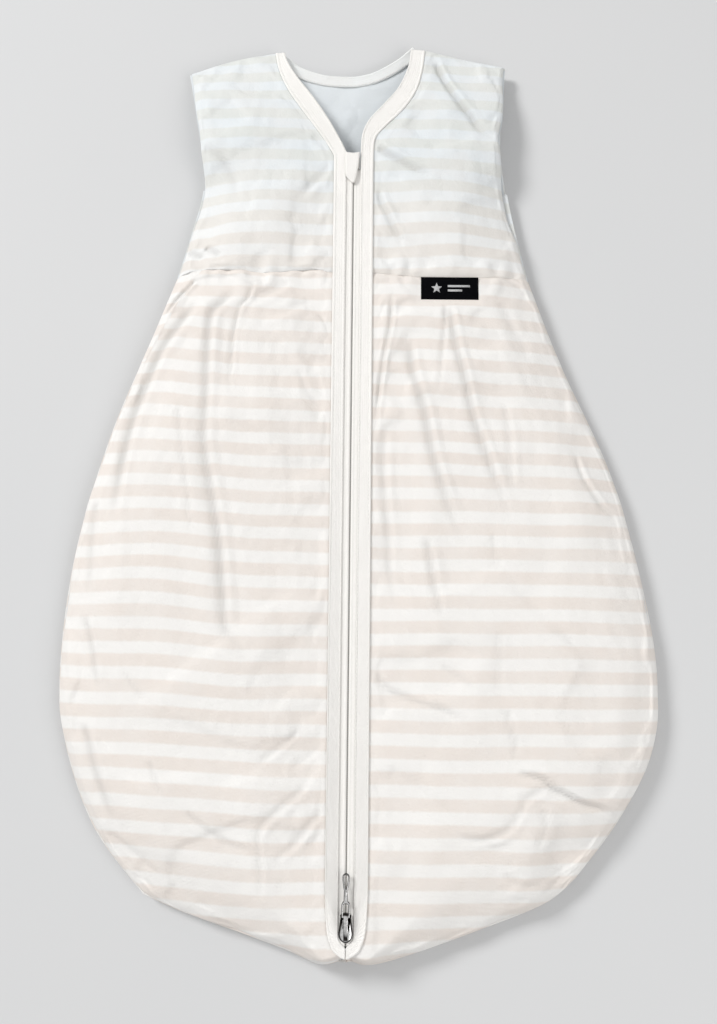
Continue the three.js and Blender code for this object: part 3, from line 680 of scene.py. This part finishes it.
def band_distance(half, plan, kind):
    """Distance from the facing's outer edge, 0 under the facing."""
    if kind == "skirt":
        away = np.abs(plan[..., 0]) - BAND_X
    else:
        away = distance_to(plan, zip_edge(half["v_band"], np.linspace(0, 1, 80)))
    away[:, PATCH_COLUMNS:] = 0
    return np.maximum(away, 0)


def label_mask(name, x, y):
    """0 under the label, where the cloth lies flat, and 1 away from it."""
    if not name.endswith("right"):
        return np.ones(x.shape)
    x0, x1, y0, y1 = LABEL_RECT
    away_x = np.maximum(np.maximum(x0 - x, x - x1), 0)
    away_y = np.maximum(np.maximum(y0 - y, y - y1), 0)
    return 1 - hill(np.hypot(away_x, away_y), LABEL_PRESS)


def panel_relief(name, plan, seam, from_zip, from_waist):
    """Height that puffing, folds, puckers and unevenness add to a panel, the slip, and the painted shade in
    the creases.
    """
    inner = smooth(from_zip / 14) * smooth(seam / 12)
    crown = smooth(from_zip / 50) * smooth(seam / 80) * smooth(from_waist / 45)
    folds, slip, crease_shade = fold_field(plan, FOLDS[name])
    soft = 0.45 * ripples(plan, 14, 28, 90, 2.2) + 0.12 * ripples(plan, 16, 9, 24, 1.6)
    pucker = 0.5 * ripples(plan * [1, 0], 12, 9, 26) * hill(from_waist, 12)
    fade = smooth(from_zip / 5) * smooth(seam / 5)
    height = PUFF * crown + folds * fade + (soft + pucker) * inner
    mask = label_mask(name, plan[..., 0], plan[..., 1])
    return height * mask, slip, crease_shade * fade * mask


# Below the left armhole the back's cloth shows beyond the side seam, with its own stripes.
SIDE_SEAM_Y = (84, 94, 126, 156)
SIDE_SEAM_X = (-158, -153, -136, -116)
SIM_FRAMES = 26
SIM_CELL = 6.0  # size of the trial cloth's cells
SPARE_CLOTH = 0.045  # how much longer the jersey is than the wadded space it covers
MOST_RISE = {"skirt": 1.0, "yoke": 0.8}
JERSEY = {"quality": 8, "mass": 0.2, "tension_stiffness": 25, "compression_stiffness": 25,
          "shear_stiffness": 10, "bending_stiffness": 0.6, "air_damping": 3}


def blurred(field, times):
    """Evens out a grid of heights, edges included."""
    for _ in range(times):
        for axis in (0, 1):
            padded = np.concatenate([field.take([0], axis), field, field.take([-1], axis)], axis)
            count = padded.shape[axis]
            before, here, after = (padded.take(range(k, count - 2 + k), axis) for k in range(3))
            field = (before + 2 * here + after) / 4
    return field


def chosen(count, length):
    """Numbers of the rows or columns that the trial cloth takes from a fine grid."""
    return np.linspace(0, count - 1, int(length / SIM_CELL)).round().astype(int)


def settled(plan, top_z, held, most_rise):
    """How far the jersey rises and sinks when it is a little too large for its place.

    Blender's cloth runs on a coarse copy of the surface, held round its rim and where held is
    true. The spare length buckles into soft creases, whose height comes back on the full grid.
    """
    rows = chosen(plan.shape[0], np.linalg.norm(plan[-1, 0] - plan[0, 0]))
    columns = chosen(plan.shape[1], np.abs(plan[..., 0].max() - plan[..., 0].min()))
    grid = np.ix_(rows, columns)
    start = np.dstack([plan, top_z])[grid]
    mesh = bpy.data.meshes.new("trial_cloth")
    mesh.from_pydata((start.reshape(-1, 3) * MM).tolist(), [], quads(*start.shape[:2]).tolist())
    trial = placed("trial_cloth", mesh)
    fixed = np.pad(held[grid][1:-1, 1:-1], 1, constant_values=True)
    group = trial.vertex_groups.new(name="held")
    group.add(np.flatnonzero(fixed).tolist(), 1.0, "REPLACE")
    cloth = trial.modifiers.new("cloth", "CLOTH")
    for key, setting in JERSEY.items():
        setattr(cloth.settings, key, setting)
    cloth.settings.shrink_min = -SPARE_CLOTH
    cloth.settings.vertex_group_mass = "held"
    cloth.settings.effector_weights.gravity = 0
    cloth.collision_settings.use_collision = False
    cloth.point_cache.frame_end = SIM_FRAMES
    for step in range(1, SIM_FRAMES + 1):
        bpy.context.scene.frame_set(step)
    result = trial.evaluated_get(bpy.context.evaluated_depsgraph_get()).data
    where = np.empty(start.size)
    result.vertices.foreach_get("co", where)
    lift = where.reshape(start.shape)[..., 2] / MM - start[..., 2]
    bpy.data.objects.remove(trial)
    bpy.context.scene.frame_set(1)
    all_rows, all_columns = (np.arange(count) for count in plan.shape[:2])
    wide_rows = np.stack([np.interp(all_columns, columns, row) for row in lift])
    full = np.stack([np.interp(all_rows, rows, column) for column in wide_rows.T], 1)
    return most_rise * np.tanh(blurred(full, 4) / most_rise)


def drawn_in(half, plan, side, foot):
    """The front's edge lies a little inside the back's, more in some places than in others."""
    x, y = plan[..., 0], plan[..., 1]
    amount = 0.9 + 0.5 * np.sin(y / 23) + 0.3 * np.sin(y / 8.5 + 1)
    along_foot = 1.0 + 0.5 * np.sin(x / 14) + 0.3 * np.sin(x / 6 + 2)
    return np.dstack([x - half["sign"] * amount * np.exp(-side / 8), y + along_foot * np.exp(-foot / 8)])


def front_panel(side_name, kind, rows, nodes):
    half = HALVES[side_name]
    name = f"{kind}_{side_name}"
    plan = front_plan(half, kind, rows)
    side, foot, shoulder, arm = seams(half, plan, kind)
    seam = np.min([side, foot, shoulder], axis=0)
    plan = drawn_in(half, plan, side, foot)
    x, y = plan[..., 0], plan[..., 1]
    full = loft(x, side, foot, shoulder, arm)
    from_band = band_distance(half, plan, kind)
    from_waist = np.abs(y - waist_y(half, x))
    relief, slip, crease_shade = panel_relief(name, plan, seam, from_band, from_waist)
    close_z = lerp(SEAM_Z, OPEN_Z, arm * rise(shoulder, SHOULDER_REACH))
    edge = rounding(seam, EDGE_ROUND)
    groove = (1.0 * hill(from_waist, 2.6) + 0.5 * (1 - rounding(from_waist, 1.5))) * smooth(side / 10)
    if half["sign"] < 0:
        groove = groove * smooth((x + 124) / 10)
    top_z = close_z + (lerp(SEAM_TOP_Z, FULL_TOP_Z, full) - close_z) * edge + relief * edge - groove + RIM
    low_z = close_z + (lerp(SEAM_LOW_Z, FULL_LOW_Z, full) - close_z) * edge - RIM
    mask = label_mask(name, x, y)
    lift = settled(plan, top_z, (mask < 0.5) | (from_band < 4) | (side < 5), MOST_RISE[kind])
    top_z = top_z + lift * mask * smooth(from_band / 8)
    top_z = np.minimum(top_z, facing_height(half, y) - 0.4 + 0.6 * from_band)
    low_z = np.minimum(low_z, top_z - 2 * RIM)
    cloth_y = STRIPE_ORIGIN[name] - y + slip
    if name == "skirt_left":
        cloth_y = cloth_y + 5.0 * smooth((-x - 60) / 98)
        seam_x = np.interp(y, SIDE_SEAM_Y, SIDE_SEAM_X)
        beyond = smooth((seam_x - x) / 0.8) * (y > SIDE_SEAM_Y[0])
        cloth_y = lerp(cloth_y, STRIPE_ORIGIN["yoke_left"] - 10 * STRIPE_PITCH - y, beyond)
    cloth_y = cloth_y + 0.35 * ripples(plan, 8, 60, 160)
    cool = lerp(0.3, 1.0, smooth((y - WAIST_Y - 10) / 100)) if kind == "yoke" else 0 * y
    # The panel carries its cloth coordinates and the painted shade in its creases.
    piece = grid_piece(f"front_{name}", plan, top_z, low_z, STRIPED, "bag", nodes,
                       np.dstack([x, cloth_y, cool]), crease_shade)


for side_name in HALVES:
    front_panel(side_name, "skirt", SKIRT_ROWS,
                (f"front_skirt_{side_name}_outer", f"front_wadding_{side_name}"))
    front_panel(side_name, "yoke", YOKE_ROWS, (f"front_yoke_{side_name}_outer",))


# ---- the back

BACK_COLUMNS = 70
BACK_CENTRE_COLUMNS = 6
BACK_SKIRT_ROWS = 150
BACK_YOKE_ROWS = 80
# Heights of the back at a free edge and at a seam: where its two faces meet, and of its top.
BACK_CLOSE_Z, BACK_TOP_Z = (3.2, 9.0), (6.2, 9.4)
BACK_SEAM_REACH, BACK_ROUND, BACK_THIN = 9.0, 9.0, 0.6


def back_half(half, kind, rows):
    """Plan grid of half of the back, from the side to the centre line."""
    u, v = ease(BACK_COLUMNS), ease(rows, 0.6)
    if kind == "skirt":
        plan = skirt_plan(half, u, v)
        return with_strip(plan, plan[:, -1] * [0, 1], BACK_CENTRE_COLUMNS)
    waist_side, middle = half["side"][-1], (0, WAIST_Y)

    def top(t):
        on_shoulder = spline(half["shoulder"], t / NECK_SHARE)
        on_neck = spline(half["back_neck"], (t - NECK_SHARE) / (1 - NECK_SHARE))
        return np.where((t <= NECK_SHARE)[:, None], on_shoulder, on_neck)

    return patch(lambda t: line(waist_side, middle, t), top, lambda t: spline(half["armhole"], t),
                 lambda t: line(middle, half["back_neck"][-1], t), u, v)


def back_plan(kind, rows):
    left, right = (back_half(HALVES[name], kind, rows) for name in ("left", "right"))
    return np.concatenate([left, right[:, -2::-1]], 1)


def outline(half, *names):
    return np.concatenate([traced(HALVES[half][name], 50) for name in names])


CLOSED = [outline(half, *names) for names in (("side", "foot"), ("shoulder",)) for half in HALVES]
FREE = [outline(half, name) for half in HALVES for name in ("armhole", "back_neck")]


def back_fields(plan):
    """Distance from the seams that close the bag, and from any edge."""
    closed, free = (np.min([distance_to(plan, path) for path in paths], axis=0) for paths in (CLOSED, FREE))
    closed = np.where(plan[..., 1] < ARMPIT_Y, np.minimum(closed, free), closed)
    return closed, np.minimum(closed, free)


def back_panel(kind, rows, nodes, cool, stripes_of):
    plan = back_plan(kind, rows)
    x, y = plan[..., 0], plan[..., 1]
    closed, from_edge = back_fields(plan)
    lift = hill(closed, BACK_SEAM_REACH)
    close_z = lerp(*BACK_CLOSE_Z, lift)
    edge = rounding(from_edge, BACK_ROUND)
    uneven = 0.35 * ripples(plan, 12, 30, 90, 1.5) * smooth(from_edge / 20)
    groove = 0.9 * (1 - rounding(np.abs(y - WAIST_Y), 4.0))
    top_z = close_z + (lerp(*BACK_TOP_Z, lift) - close_z) * edge + BACK_THIN / 2
    low_z = np.minimum(close_z * (1 - edge) + np.abs(uneven) * edge + groove, top_z - BACK_THIN)
    cloth = np.dstack([x, STRIPE_ORIGIN[stripes_of] - y, np.full(y.shape, cool)])
    piece = grid_piece(f"back_{kind}", plan, top_z, low_z, STRIPED, "bag", nodes, cloth)


back_panel("skirt", BACK_SKIRT_ROWS, ("back_skirt_outer", "back_wadding"), 0.0, "skirt_right")
back_panel("yoke", BACK_YOKE_ROWS, ("back_yoke_outer",), 1.0, "yoke_left")


# ---- linings

LINING_THICK = 0.8
LINING_INSET = 2.5
BACK_LINING_Z, BACK_LINING_RISE = 7.7, 1.3
FRONT_LINING_Z = (10.6, 18.3)  # at the seams, and where the front has fully risen


def plain(plan, tint=0.0):
    """Cloth coordinates that are the same as the plan's."""
    return np.dstack([plan, np.full(plan.shape[:2], tint)])


def lining(name, plan, top_z, nodes):
    piece = grid_piece(name, plan, top_z, top_z - LINING_THICK, LINING, "bag", nodes,
                       plain(plan))


def inset(plan, from_edge):
    """Moves the outer columns and end rows of a plan grid inwards."""
    return plan + unit(plan.mean((0, 1)) - plan) * (np.exp(-from_edge / 20)[..., None] * LINING_INSET)


def back_lining():
    skirt, yoke = back_plan("skirt", 60), back_plan("yoke", 70)
    columns = np.linspace(0, 1, skirt.shape[1])
    wanted = np.linspace(0, 1, yoke.shape[1])
    skirt = np.stack([[np.interp(wanted, columns, row[:, k]) for row in skirt] for k in (0, 1)], -1)
    plan = np.concatenate([skirt, yoke[1:]])
    closed, from_edge = back_fields(plan)
    plan = inset(plan, from_edge)
    wave = (0.5 * ripples(plan, 12, 35, 110) + 0.15 * ripples(plan, 10, 12, 25)) * smooth(from_edge / 15)
    top_z = BACK_LINING_Z + BACK_LINING_RISE * hill(closed, BACK_SEAM_REACH) + np.abs(wave) * 0.9
    lining("back_lining_sheet", plan, top_z, ("back_lining",))


def front_lining(side_name):
    half = HALVES[side_name]
    skirt, yoke = front_plan(half, "skirt", 60), front_plan(half, "yoke", 50)
    fields = [seams(half, skirt, "skirt"), seams(half, yoke, "yoke")]
    plan = np.concatenate([skirt, yoke[1:]])
    side, foot, shoulder, arm = (np.concatenate([a, b[1:]]) for a, b in zip(*fields))
    full = loft(plan[..., 0], side, foot, shoulder, arm)
    nearest = np.min([side, foot, shoulder], axis=0)
    plan = inset(plan, nearest)
    top_z = lerp(*FRONT_LINING_Z, full) + 0.25 * ripples(plan, 10, 30, 90) * smooth(nearest / 15)
    lining(f"front_lining_{side_name}_sheet", plan, top_z, (f"front_lining_{side_name}",))


back_lining()
for side_name in HALVES:
    front_lining(side_name)


# ---- facings, binding and stitches

FACING_THICK = 0.8
FOOT_ROWS, ZIP_ROWS, NECK_ROWS = 30, 160, 90
FACING_COLUMNS = 25
WELT = 2.3  # width of the raised fold along the outer edge of a facing
STITCHED_FROM = FOOT_ROWS - 8  # row at which the stitches begin


def facing_edges(half):
    """Inner and outer edge of a facing from the foot up to the shoulder."""
    edges = []
    foot_edge = np.array(FOOT_EDGE) * [half["sign"], 1]
    for foot, neck in ((foot_edge, half["v_edge"]), (half["foot_band"], half["v_band"])):
        start, end = traced(foot, FOOT_ROWS), traced(neck, NECK_ROWS)
        middle = line(start[-1], end[0], np.linspace(0, 1, ZIP_ROWS))
        edges.append(np.concatenate([start[:-1], middle, end[1:]]))
    return edges


def facing_profile(share, width):
    """Thickness across a facing: rounded edges, and a raised welt on its outer side."""
    from_outer = (1 - share) * width
    from_inner = share * width
    round_edge = rounding(np.minimum(from_outer, from_inner), 0.7)
    welt = 0.4 * hill(from_outer - WELT / 2, 0.85)
    groove = 0.28 * hill(from_outer - WELT - 0.35, 0.3)
    roll = 0.25 * hill(from_inner - 0.9, 0.8)
    return (FACING_THICK - 0.3 + welt + roll - groove) * np.maximum(round_edge, 0.15)


def facing(side_name):
    half = HALVES[side_name]
    inner, outer = facing_edges(half)
    share = ease(FACING_COLUMNS, 0.75)
    plan = inner[:, None] + (outer - inner)[:, None] * share[None, :, None]
    width = np.linalg.norm(outer - inner, axis=1)[:, None]
    base = facing_height(half, plan[..., 1])
    length = lengths(inner)
    relief = facing_profile(share[None], width) + 0.06 * ripples(plan, 10, 6, 20)
    if half["facing_join"]:
        from_join = length - np.interp(half["facing_join"], inner[:, 1], length)
        relief = relief - 0.3 * hill(from_join[:, None], 1.1)
    along = np.repeat(length[:, None], FACING_COLUMNS, 1)
    piece = grid_piece(f"facing_{side_name}", plan, base + np.maximum(relief, 0.1), base, FACING, "bag",
                       (f"front_facing_{side_name}",),
                       np.dstack([share[None] * width, along, 0 * along]))
    for name, offset, high in (("zip", 1.0, 0.4), ("band", WELT + 0.3, 0.35)):
        across = offset / width[:, 0] if name == "zip" else 1 - offset / width[:, 0]
        path = inner + (outer - inner) * across[:, None]
        z = facing_height(half, path[:, 1]) + facing_profile(across, width[:, 0])
        stitches(f"stitch_{name}_{side_name}", np.column_stack([path, z])[STITCHED_FROM:], "bag", high=high)


STITCH_SIDES = 6
# Rings of one stitch: place along it, size, and how far it stands out of the cloth.
STITCH_RINGS = ((-0.5, 0.25, -0.25), (-0.3, 0.9, 0.2), (0.3, 0.9, 0.2), (0.5, 0.25, -0.25))


def stitches(name, path, body, pitch=3.0, long=2.1, wide=0.5, high=0.4):
    """A row of short sewn threads along a path of points."""
    length = lengths(path)
    count = max(int(length[-1] / pitch), 1)
    places = (np.arange(count) + 0.5) * length[-1] / count
    centre, ahead, behind = (np.stack([np.interp(places + step, length, axis) for axis in path.T], 1)
                             for step in (0, 0.3, -0.3))
    tangent = unit(ahead - behind)
    across = unit(np.cross(tangent, [0, 0, 1]))
    axes = np.stack([tangent, across, np.cross(across, tangent)], 1)
    angle = np.arange(STITCH_SIDES) * 2 * np.pi / STITCH_SIDES
    local = np.array([(along * long, np.cos(a) * size * wide / 2, (np.sin(a) * size / 2 + sink) * high)
                      for along, size, sink in STITCH_RINGS for a in angle])
    faces = [face for k in range(count)
             for face in tube_faces(len(STITCH_RINGS), STITCH_SIDES, k * len(local))]
    mesh_piece(name, (centre[:, None] + local @ axes).reshape(-1, 3), faces, THREAD, body)


for side_name in HALVES:
    facing(side_name)

BINDING_WIDE, BINDING_Z = 9.5, 8.4
BINDING_END = 14  # number of points over which the binding rises to the shoulder


def neck_binding():
    """The bound edge of the back of the neck, from one shoulder to the other."""
    left, right = (traced(HALVES[name]["back_neck"]) for name in ("left", "right"))
    path = np.concatenate([left, right[-2::-1]])
    tangent = unit(np.gradient(path, axis=0))
    down = np.column_stack([tangent[:, 1], -tangent[:, 0]])
    offset = ease(17, 0.7)[::-1, None] * BINDING_WIDE
    plan = path[None] + down[None] * offset[..., None]
    edge = rounding(np.minimum(offset, BINDING_WIDE - offset), 1.2)
    thick = (1.1 + 0.35 * hill(offset - 1.2, 1.1)) * np.maximum(edge, 0.2)
    number = np.arange(len(path))
    ends = smooth(np.minimum(len(path) - 1 - number, number) / BINDING_END)
    base = np.full(plan.shape[:2], BINDING_Z) + 2.6 * (1 - ends)
    top_z = base + thick + 0.05 * ripples(plan, 8, 6, 18)
    cloth = np.dstack([np.repeat(offset, len(path), 1), plan[..., 0], np.ones(base.shape)])
    piece = grid_piece("neck_binding", plan, top_z, base, FACING, "bag",
                       ("back_neck_binding",), cloth)
    seam = np.column_stack([path + down * (BINDING_WIDE - 1.3), base[0] + 1.05])
    stitches("stitch_neck", seam[4:-4], "bag")


neck_binding()


# ---- zip

TAPE_INNER, TAPE_OUTER = 0.5, 14.3
TAPE_LOW_Z, TAPE_THICK = 25.5, 0.6
TAPE_FOOT, TAPE_NECK = -336.0, 237.7
TAPE_SHOWN = 5.0  # the tape narrows towards the foot outside this, under the facing
TAPE_ROWS = 300
RIB_PITCH = 2.6
COIL_PITCH, COIL_Z = 1.3, 24.8
COIL_REACH = 1.3  # each spiral reaches a little past the centre, between the turns of the other
COIL_STEPS, WIRE_SIDES, WIRE = 8, 5, 0.28
PIN_FOOT = 228.0  # the left coil ends at the pin


def zip_tape(side_name, sign):
    across = TAPE_INNER + np.array([0, 0.25, 0.6, 1.1, 1.6, 2.0, 2.4, 2.8, 3.4, 4.2, 5.2, 8, 13.0, 13.8])
    along = np.linspace(TAPE_FOOT, TAPE_NECK, TAPE_ROWS)
    x, y = np.meshgrid(across, along)
    under = np.abs(traced(HALVES[side_name]["foot_band"]))
    reach = np.interp(along, -under[:, 1], under[:, 0] - 1.0)[:, None]
    free = TAPE_SHOWN + np.maximum(x - TAPE_SHOWN, 0) * (reach - TAPE_SHOWN) / (TAPE_OUTER - TAPE_SHOWN)
    x = sign * np.where(x > TAPE_SHOWN, np.minimum(free, x), x)
    bead = 0.28 * hill(across - 1.7, 0.55) - 0.12 * hill(across - 3.1, 0.35)
    edge = np.maximum(rounding(across - TAPE_INNER, 1.0), 0.2)
    ribs = 0.03 * np.sin(y * 2 * np.pi / RIB_PITCH)
    top_z = TAPE_LOW_Z + TAPE_THICK * edge + bead - 0.15 + ribs
    piece = grid_piece(f"tape_{side_name}", np.dstack([x, y]), top_z, np.full(x.shape, TAPE_LOW_Z), TAPE,
                       "bag", (f"zip_tape_{side_name}",))


def zip_coil(side_name, sign):
    """A flattened nylon spiral along the inner edge of a tape."""
    neck = TAPE_NECK if sign > 0 else PIN_FOOT
    turns = int((neck - TAPE_FOOT) / COIL_PITCH)
    angle = np.arange(turns * COIL_STEPS + 1) * 2 * np.pi / COIL_STEPS
    x = sign * (COIL_REACH - 0.2) + COIL_REACH * np.sign(np.cos(angle)) * np.abs(np.cos(angle)) ** 0.7
    y = TAPE_FOOT + 0.6 + angle / (2 * np.pi) * COIL_PITCH + (COIL_PITCH / 2 if sign > 0 else 0)
    path = np.column_stack([x, y, COIL_Z + 0.45 * np.sin(angle)])
    tangent = unit(np.gradient(path, axis=0))
    normal = unit(np.cross(tangent, [0, 1, 0]))
    a = np.arange(WIRE_SIDES)[:, None] * 2 * np.pi / WIRE_SIDES
    ring = np.cos(a) * normal[:, None] + np.sin(a) * np.cross(tangent, normal)[:, None]
    mesh_piece(f"coil_{side_name}", (path[:, None] + WIRE * ring).reshape(-1, 3),
               tube_faces(len(path), WIRE_SIDES), NYLON, "bag", (f"zip_coil_{side_name}",))


for side_name in HALVES:
    zip_tape(side_name, HALVES[side_name]["sign"])
    zip_coil(side_name, HALVES[side_name]["sign"])

DOME_ABOVE = 27.0  # only tops above this height are rounded
BODY_DOME = ((0.3, 0.35), (0.5, 0.25), (0.7, 0.18), (0.9, 0.1))  # steps inwards and up, in millimetres
PULL_DOME = ((0.16, 0.32), (0.2, 0.18), (0.15, 0.06))


def domed(work, steps):
    """Rounds the flat tops of a part, by steps inwards and up."""
    tops = [face for face in work.faces
            if face.normal.z > 0.99 and face.calc_center_median().z > DOME_ABOVE * MM]
    for corner in {corner for face in tops for corner in face.verts}:
        corner.co.z -= sum(up for _, up in steps) * MM
    for inward, up in steps:
        bmesh.ops.inset_region(work, faces=tops, thickness=inward * MM, depth=up * MM,
                               use_boundary=True, use_even_offset=False)


def softened(node_name, body, material, bevel, dome=()):
    """A copy of a hard CAD part with its edges broken, which stands for that part."""
    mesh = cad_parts[node_name].data.copy()
    mesh.name = f"{node_name}_finished"
    work = bmesh.new()
    work.from_mesh(mesh)
    bmesh.ops.remove_doubles(work, verts=work.verts, dist=1e-6)
    bmesh.ops.dissolve_limit(work, angle_limit=math.radians(1), verts=work.verts, edges=work.edges)
    domed(work, dome)
    work.to_mesh(mesh)
    work.free()
    mesh.materials.clear()
    mesh.materials.append(material)
    mesh.polygons.foreach_set("use_smooth", [True] * len(mesh.polygons))
    piece = placed(mesh.name, mesh)
    edges = piece.modifiers.new("broken edges", "BEVEL")
    edges.width = bevel * MM
    edges.segments = 3
    edges.limit_method = "ANGLE"
    edges.angle_limit = math.radians(35)
    edges.harden_normals = True
    riding(piece, body, (node_name,))


for node_name, bevel in (("zip_pin", 0.3), ("zip_box", 0.6)):
    softened(node_name, "bag", NYLON, bevel)
for node_name, body, bevel, dome in (
        ("zip_bottom_stop", "bag", 0.4, ()),
        ("slider_body", "slider", 0.12, BODY_DOME),
        ("slider_cap", "slider", 1.2, ()),
        ("lock_pawl", "slider", 0.12, ()),
        ("pull_tab", "pull", 0.1, PULL_DOME)):
    softened(node_name, body, METAL, bevel, dome)


# ---- chin guard and label

GUARD_TIP, GUARD_TOP = 225.5, 251.5
GUARD_SEWN_X, GUARD_FREE_X = -6.5, -0.6  # its sewn edge, and its free edge at the tip
GUARD_SLANT, GUARD_SLANT_TALL, GUARD_SPREAD = 5.6, 9, 5.4
GUARD_DIP = 0.7  # how far the middle of its top edge hangs
GUARD_Z, GUARD_THICK = 27.95, 1.2
LABEL_LOW_Z, LABEL_THICK = 25.5, 0.5
LABEL_HEM = 1.8  # width of the turned-in ends
STAR_CENTRE, STAR_RADII = (64.5, 140.5), (4.4, 1.9)
BARS = {"upper": (73, 90, 141.4, 143.1), "lower": (73, 84, 137.9, 139.6)}
MOTIF_THICK = 0.06


def guard_sides(y):
    """x of the guard's sewn edge and free edge."""
    left = GUARD_SEWN_X + GUARD_SLANT * (1 - np.clip((y - GUARD_TIP) / GUARD_SLANT_TALL, 0, 1)) ** 2
    t = np.clip((y - GUARD_TIP) / (GUARD_TOP - GUARD_TIP), 0, 1)
    return left, GUARD_FREE_X + GUARD_SPREAD * t**0.4


def chin_guard():
    y = GUARD_TIP + (GUARD_TOP - GUARD_TIP) * ease(40, 0.7)[:, None]
    left, right = guard_sides(y)
    share = ease(22, 0.7)
    sag = GUARD_DIP * np.sin(np.pi * share) * smooth((y - GUARD_TOP + 8) / 8)
    plan = np.dstack([left + (right - left) * share, y - sag])
    around = border(plan)
    edge = rounding(distance_to(plan, np.vstack([around, around[:1]])), 1.0)
    top_z = GUARD_Z + (GUARD_THICK - 0.15) * np.maximum(edge, 0.25) + 0.04 * ripples(plan, 8, 4, 14)
    piece = grid_piece("chin_guard_flap", plan, top_z, np.full(edge.shape, GUARD_Z), FACING, "guard",
                       ("chin_guard",), plain(plan))
    edge_y = np.linspace(GUARD_TIP + 3, GUARD_TOP - 1.4, 60)
    run = np.column_stack([guard_sides(edge_y)[1] - 1.3, edge_y, np.full(60, GUARD_Z + 1.05)])
    stitches("stitch_guard", run, "guard", pitch=2.6, long=1.8, wide=0.4, high=0.3)


def label():
    x0, x1, y0, y1 = LABEL_RECT
    x, y = np.meshgrid(lerp(x0, x1, ease(45, 0.9)), lerp(y0, y1, ease(21, 0.8)))
    from_end = np.minimum(x - x0, x1 - x)
    turned = 0.12 * (1 - smooth((from_end - LABEL_HEM) / 0.5))
    edge = np.maximum(rounding(np.minimum(from_end, np.minimum(y - y0, y1 - y)), 0.5), 0.3)
    top_z = LABEL_LOW_Z + LABEL_THICK * edge + turned
    piece = grid_piece("label_cloth", np.dstack([x, y]), top_z, np.full(x.shape, LABEL_LOW_Z), LABEL,
                       "label", ("woven_label",))


def raised(name, rim):
    """A thin plate of woven thread on the label, over a closed plan outline."""
    count = len(rim)
    z = LABEL_LOW_Z + LABEL_THICK
    points = [(*rim.mean(0), z + MOTIF_THICK), *((*p, z + MOTIF_THICK) for p in rim),
              *((*p, z - 0.1) for p in rim)]
    faces = []
    for a in range(1, count + 1):
        b = a % count + 1
        faces += [(0, a, b), (a, a + count, b + count, b)]
    faces.append(range(2 * count, count, -1))
    mesh_piece(name, points, faces, LABEL_THREAD, "label")


def label_motif():
    """A plain star and two plain bars, woven in a light thread."""
    angle = (np.arange(10) * np.pi / 5 + np.pi / 2)[:, None]
    radius = np.resize(STAR_RADII, 10)[:, None]
    raised("label_star", STAR_CENTRE + radius * np.hstack([np.cos(angle), np.sin(angle)]))
    for name, (x0, x1, y0, y1) in BARS.items():
        raised(f"label_bar_{name}", np.array([(x0, y0), (x1, y0), (x1, y1), (x0, y1)]))


chin_guard()
label()
label_motif()


# ---- floor, light and camera, in metres

FLOOR_REACH, FLOOR_Z = 12.0, -0.0004
SKY_STRENGTH = 0.575
CAMERA_LENS, CAMERA_SENSOR, CAMERA_NEAR = 35.156, 36.0, 0.01
CAMERA_PLACE, CAMERA_TILT, CAMERA_ROLL = (0.00736, -0.15797, 0.7513), 9.715, 0.517


def floor():
    material, tree = new_material("floor", Roughness=0.9)
    place = Value(tree, "TexCoord", output="Object")
    paint(tree, place.noise(3.0, 3.0).mix((0.60, 0.605, 0.61, 1), (0.63, 0.63, 0.63, 1)))
    mesh = bpy.data.meshes.new("floor")
    corners = [(-1, -1), (1, -1), (1, 1), (-1, 1)]
    mesh.from_pydata([(x * FLOOR_REACH, y * FLOOR_REACH, FLOOR_Z) for x, y in corners], [], [(0, 1, 2, 3)])
    mesh.materials.append(material)
    placed("floor", mesh)


def area_light(name, place, size, power):
    """A round soft light that looks at the origin."""
    data = bpy.data.lights.new(name, "AREA")
    data.shape = "DISK"
    data.size = size
    data.energy = power
    lamp = placed(name, data)
    lamp.location = place
    x, y, z = place
    lamp.rotation_euler = (math.atan2(math.hypot(x, y), z), 0, math.atan2(x, -y))


def camera():
    data = bpy.data.cameras.new("camera")
    data.lens = CAMERA_LENS
    data.sensor_width = CAMERA_SENSOR
    data.clip_start = CAMERA_NEAR
    view = placed("camera", data)
    view.location = CAMERA_PLACE
    view.rotation_euler = (math.radians(CAMERA_TILT), 0, math.radians(CAMERA_ROLL))
    bpy.context.scene.camera = view


def sky():
    """A plain white room: bright overhead, darker towards the walls."""
    world = bpy.data.worlds.new("world")
    world.use_nodes = True
    tree = world.node_tree
    tone = Value(tree, "TexCoord", output="Generated").part(2).spread(-0.1, 0.9, 0.6, 1.0)
    background = tree.nodes["Background"]
    tree.links.new(tone.socket, background.inputs["Color"])
    background.inputs["Strength"].default_value = SKY_STRENGTH
    bpy.context.scene.world = world


floor()
area_light("key", (-2.45, 1.68, 2.31), 1.1, 97.0)
area_light("fill", (1.3, -1.0, 1.6), 1.6, 17.0)
sky()
bpy.context.scene.view_settings.view_transform = "Standard"
camera()
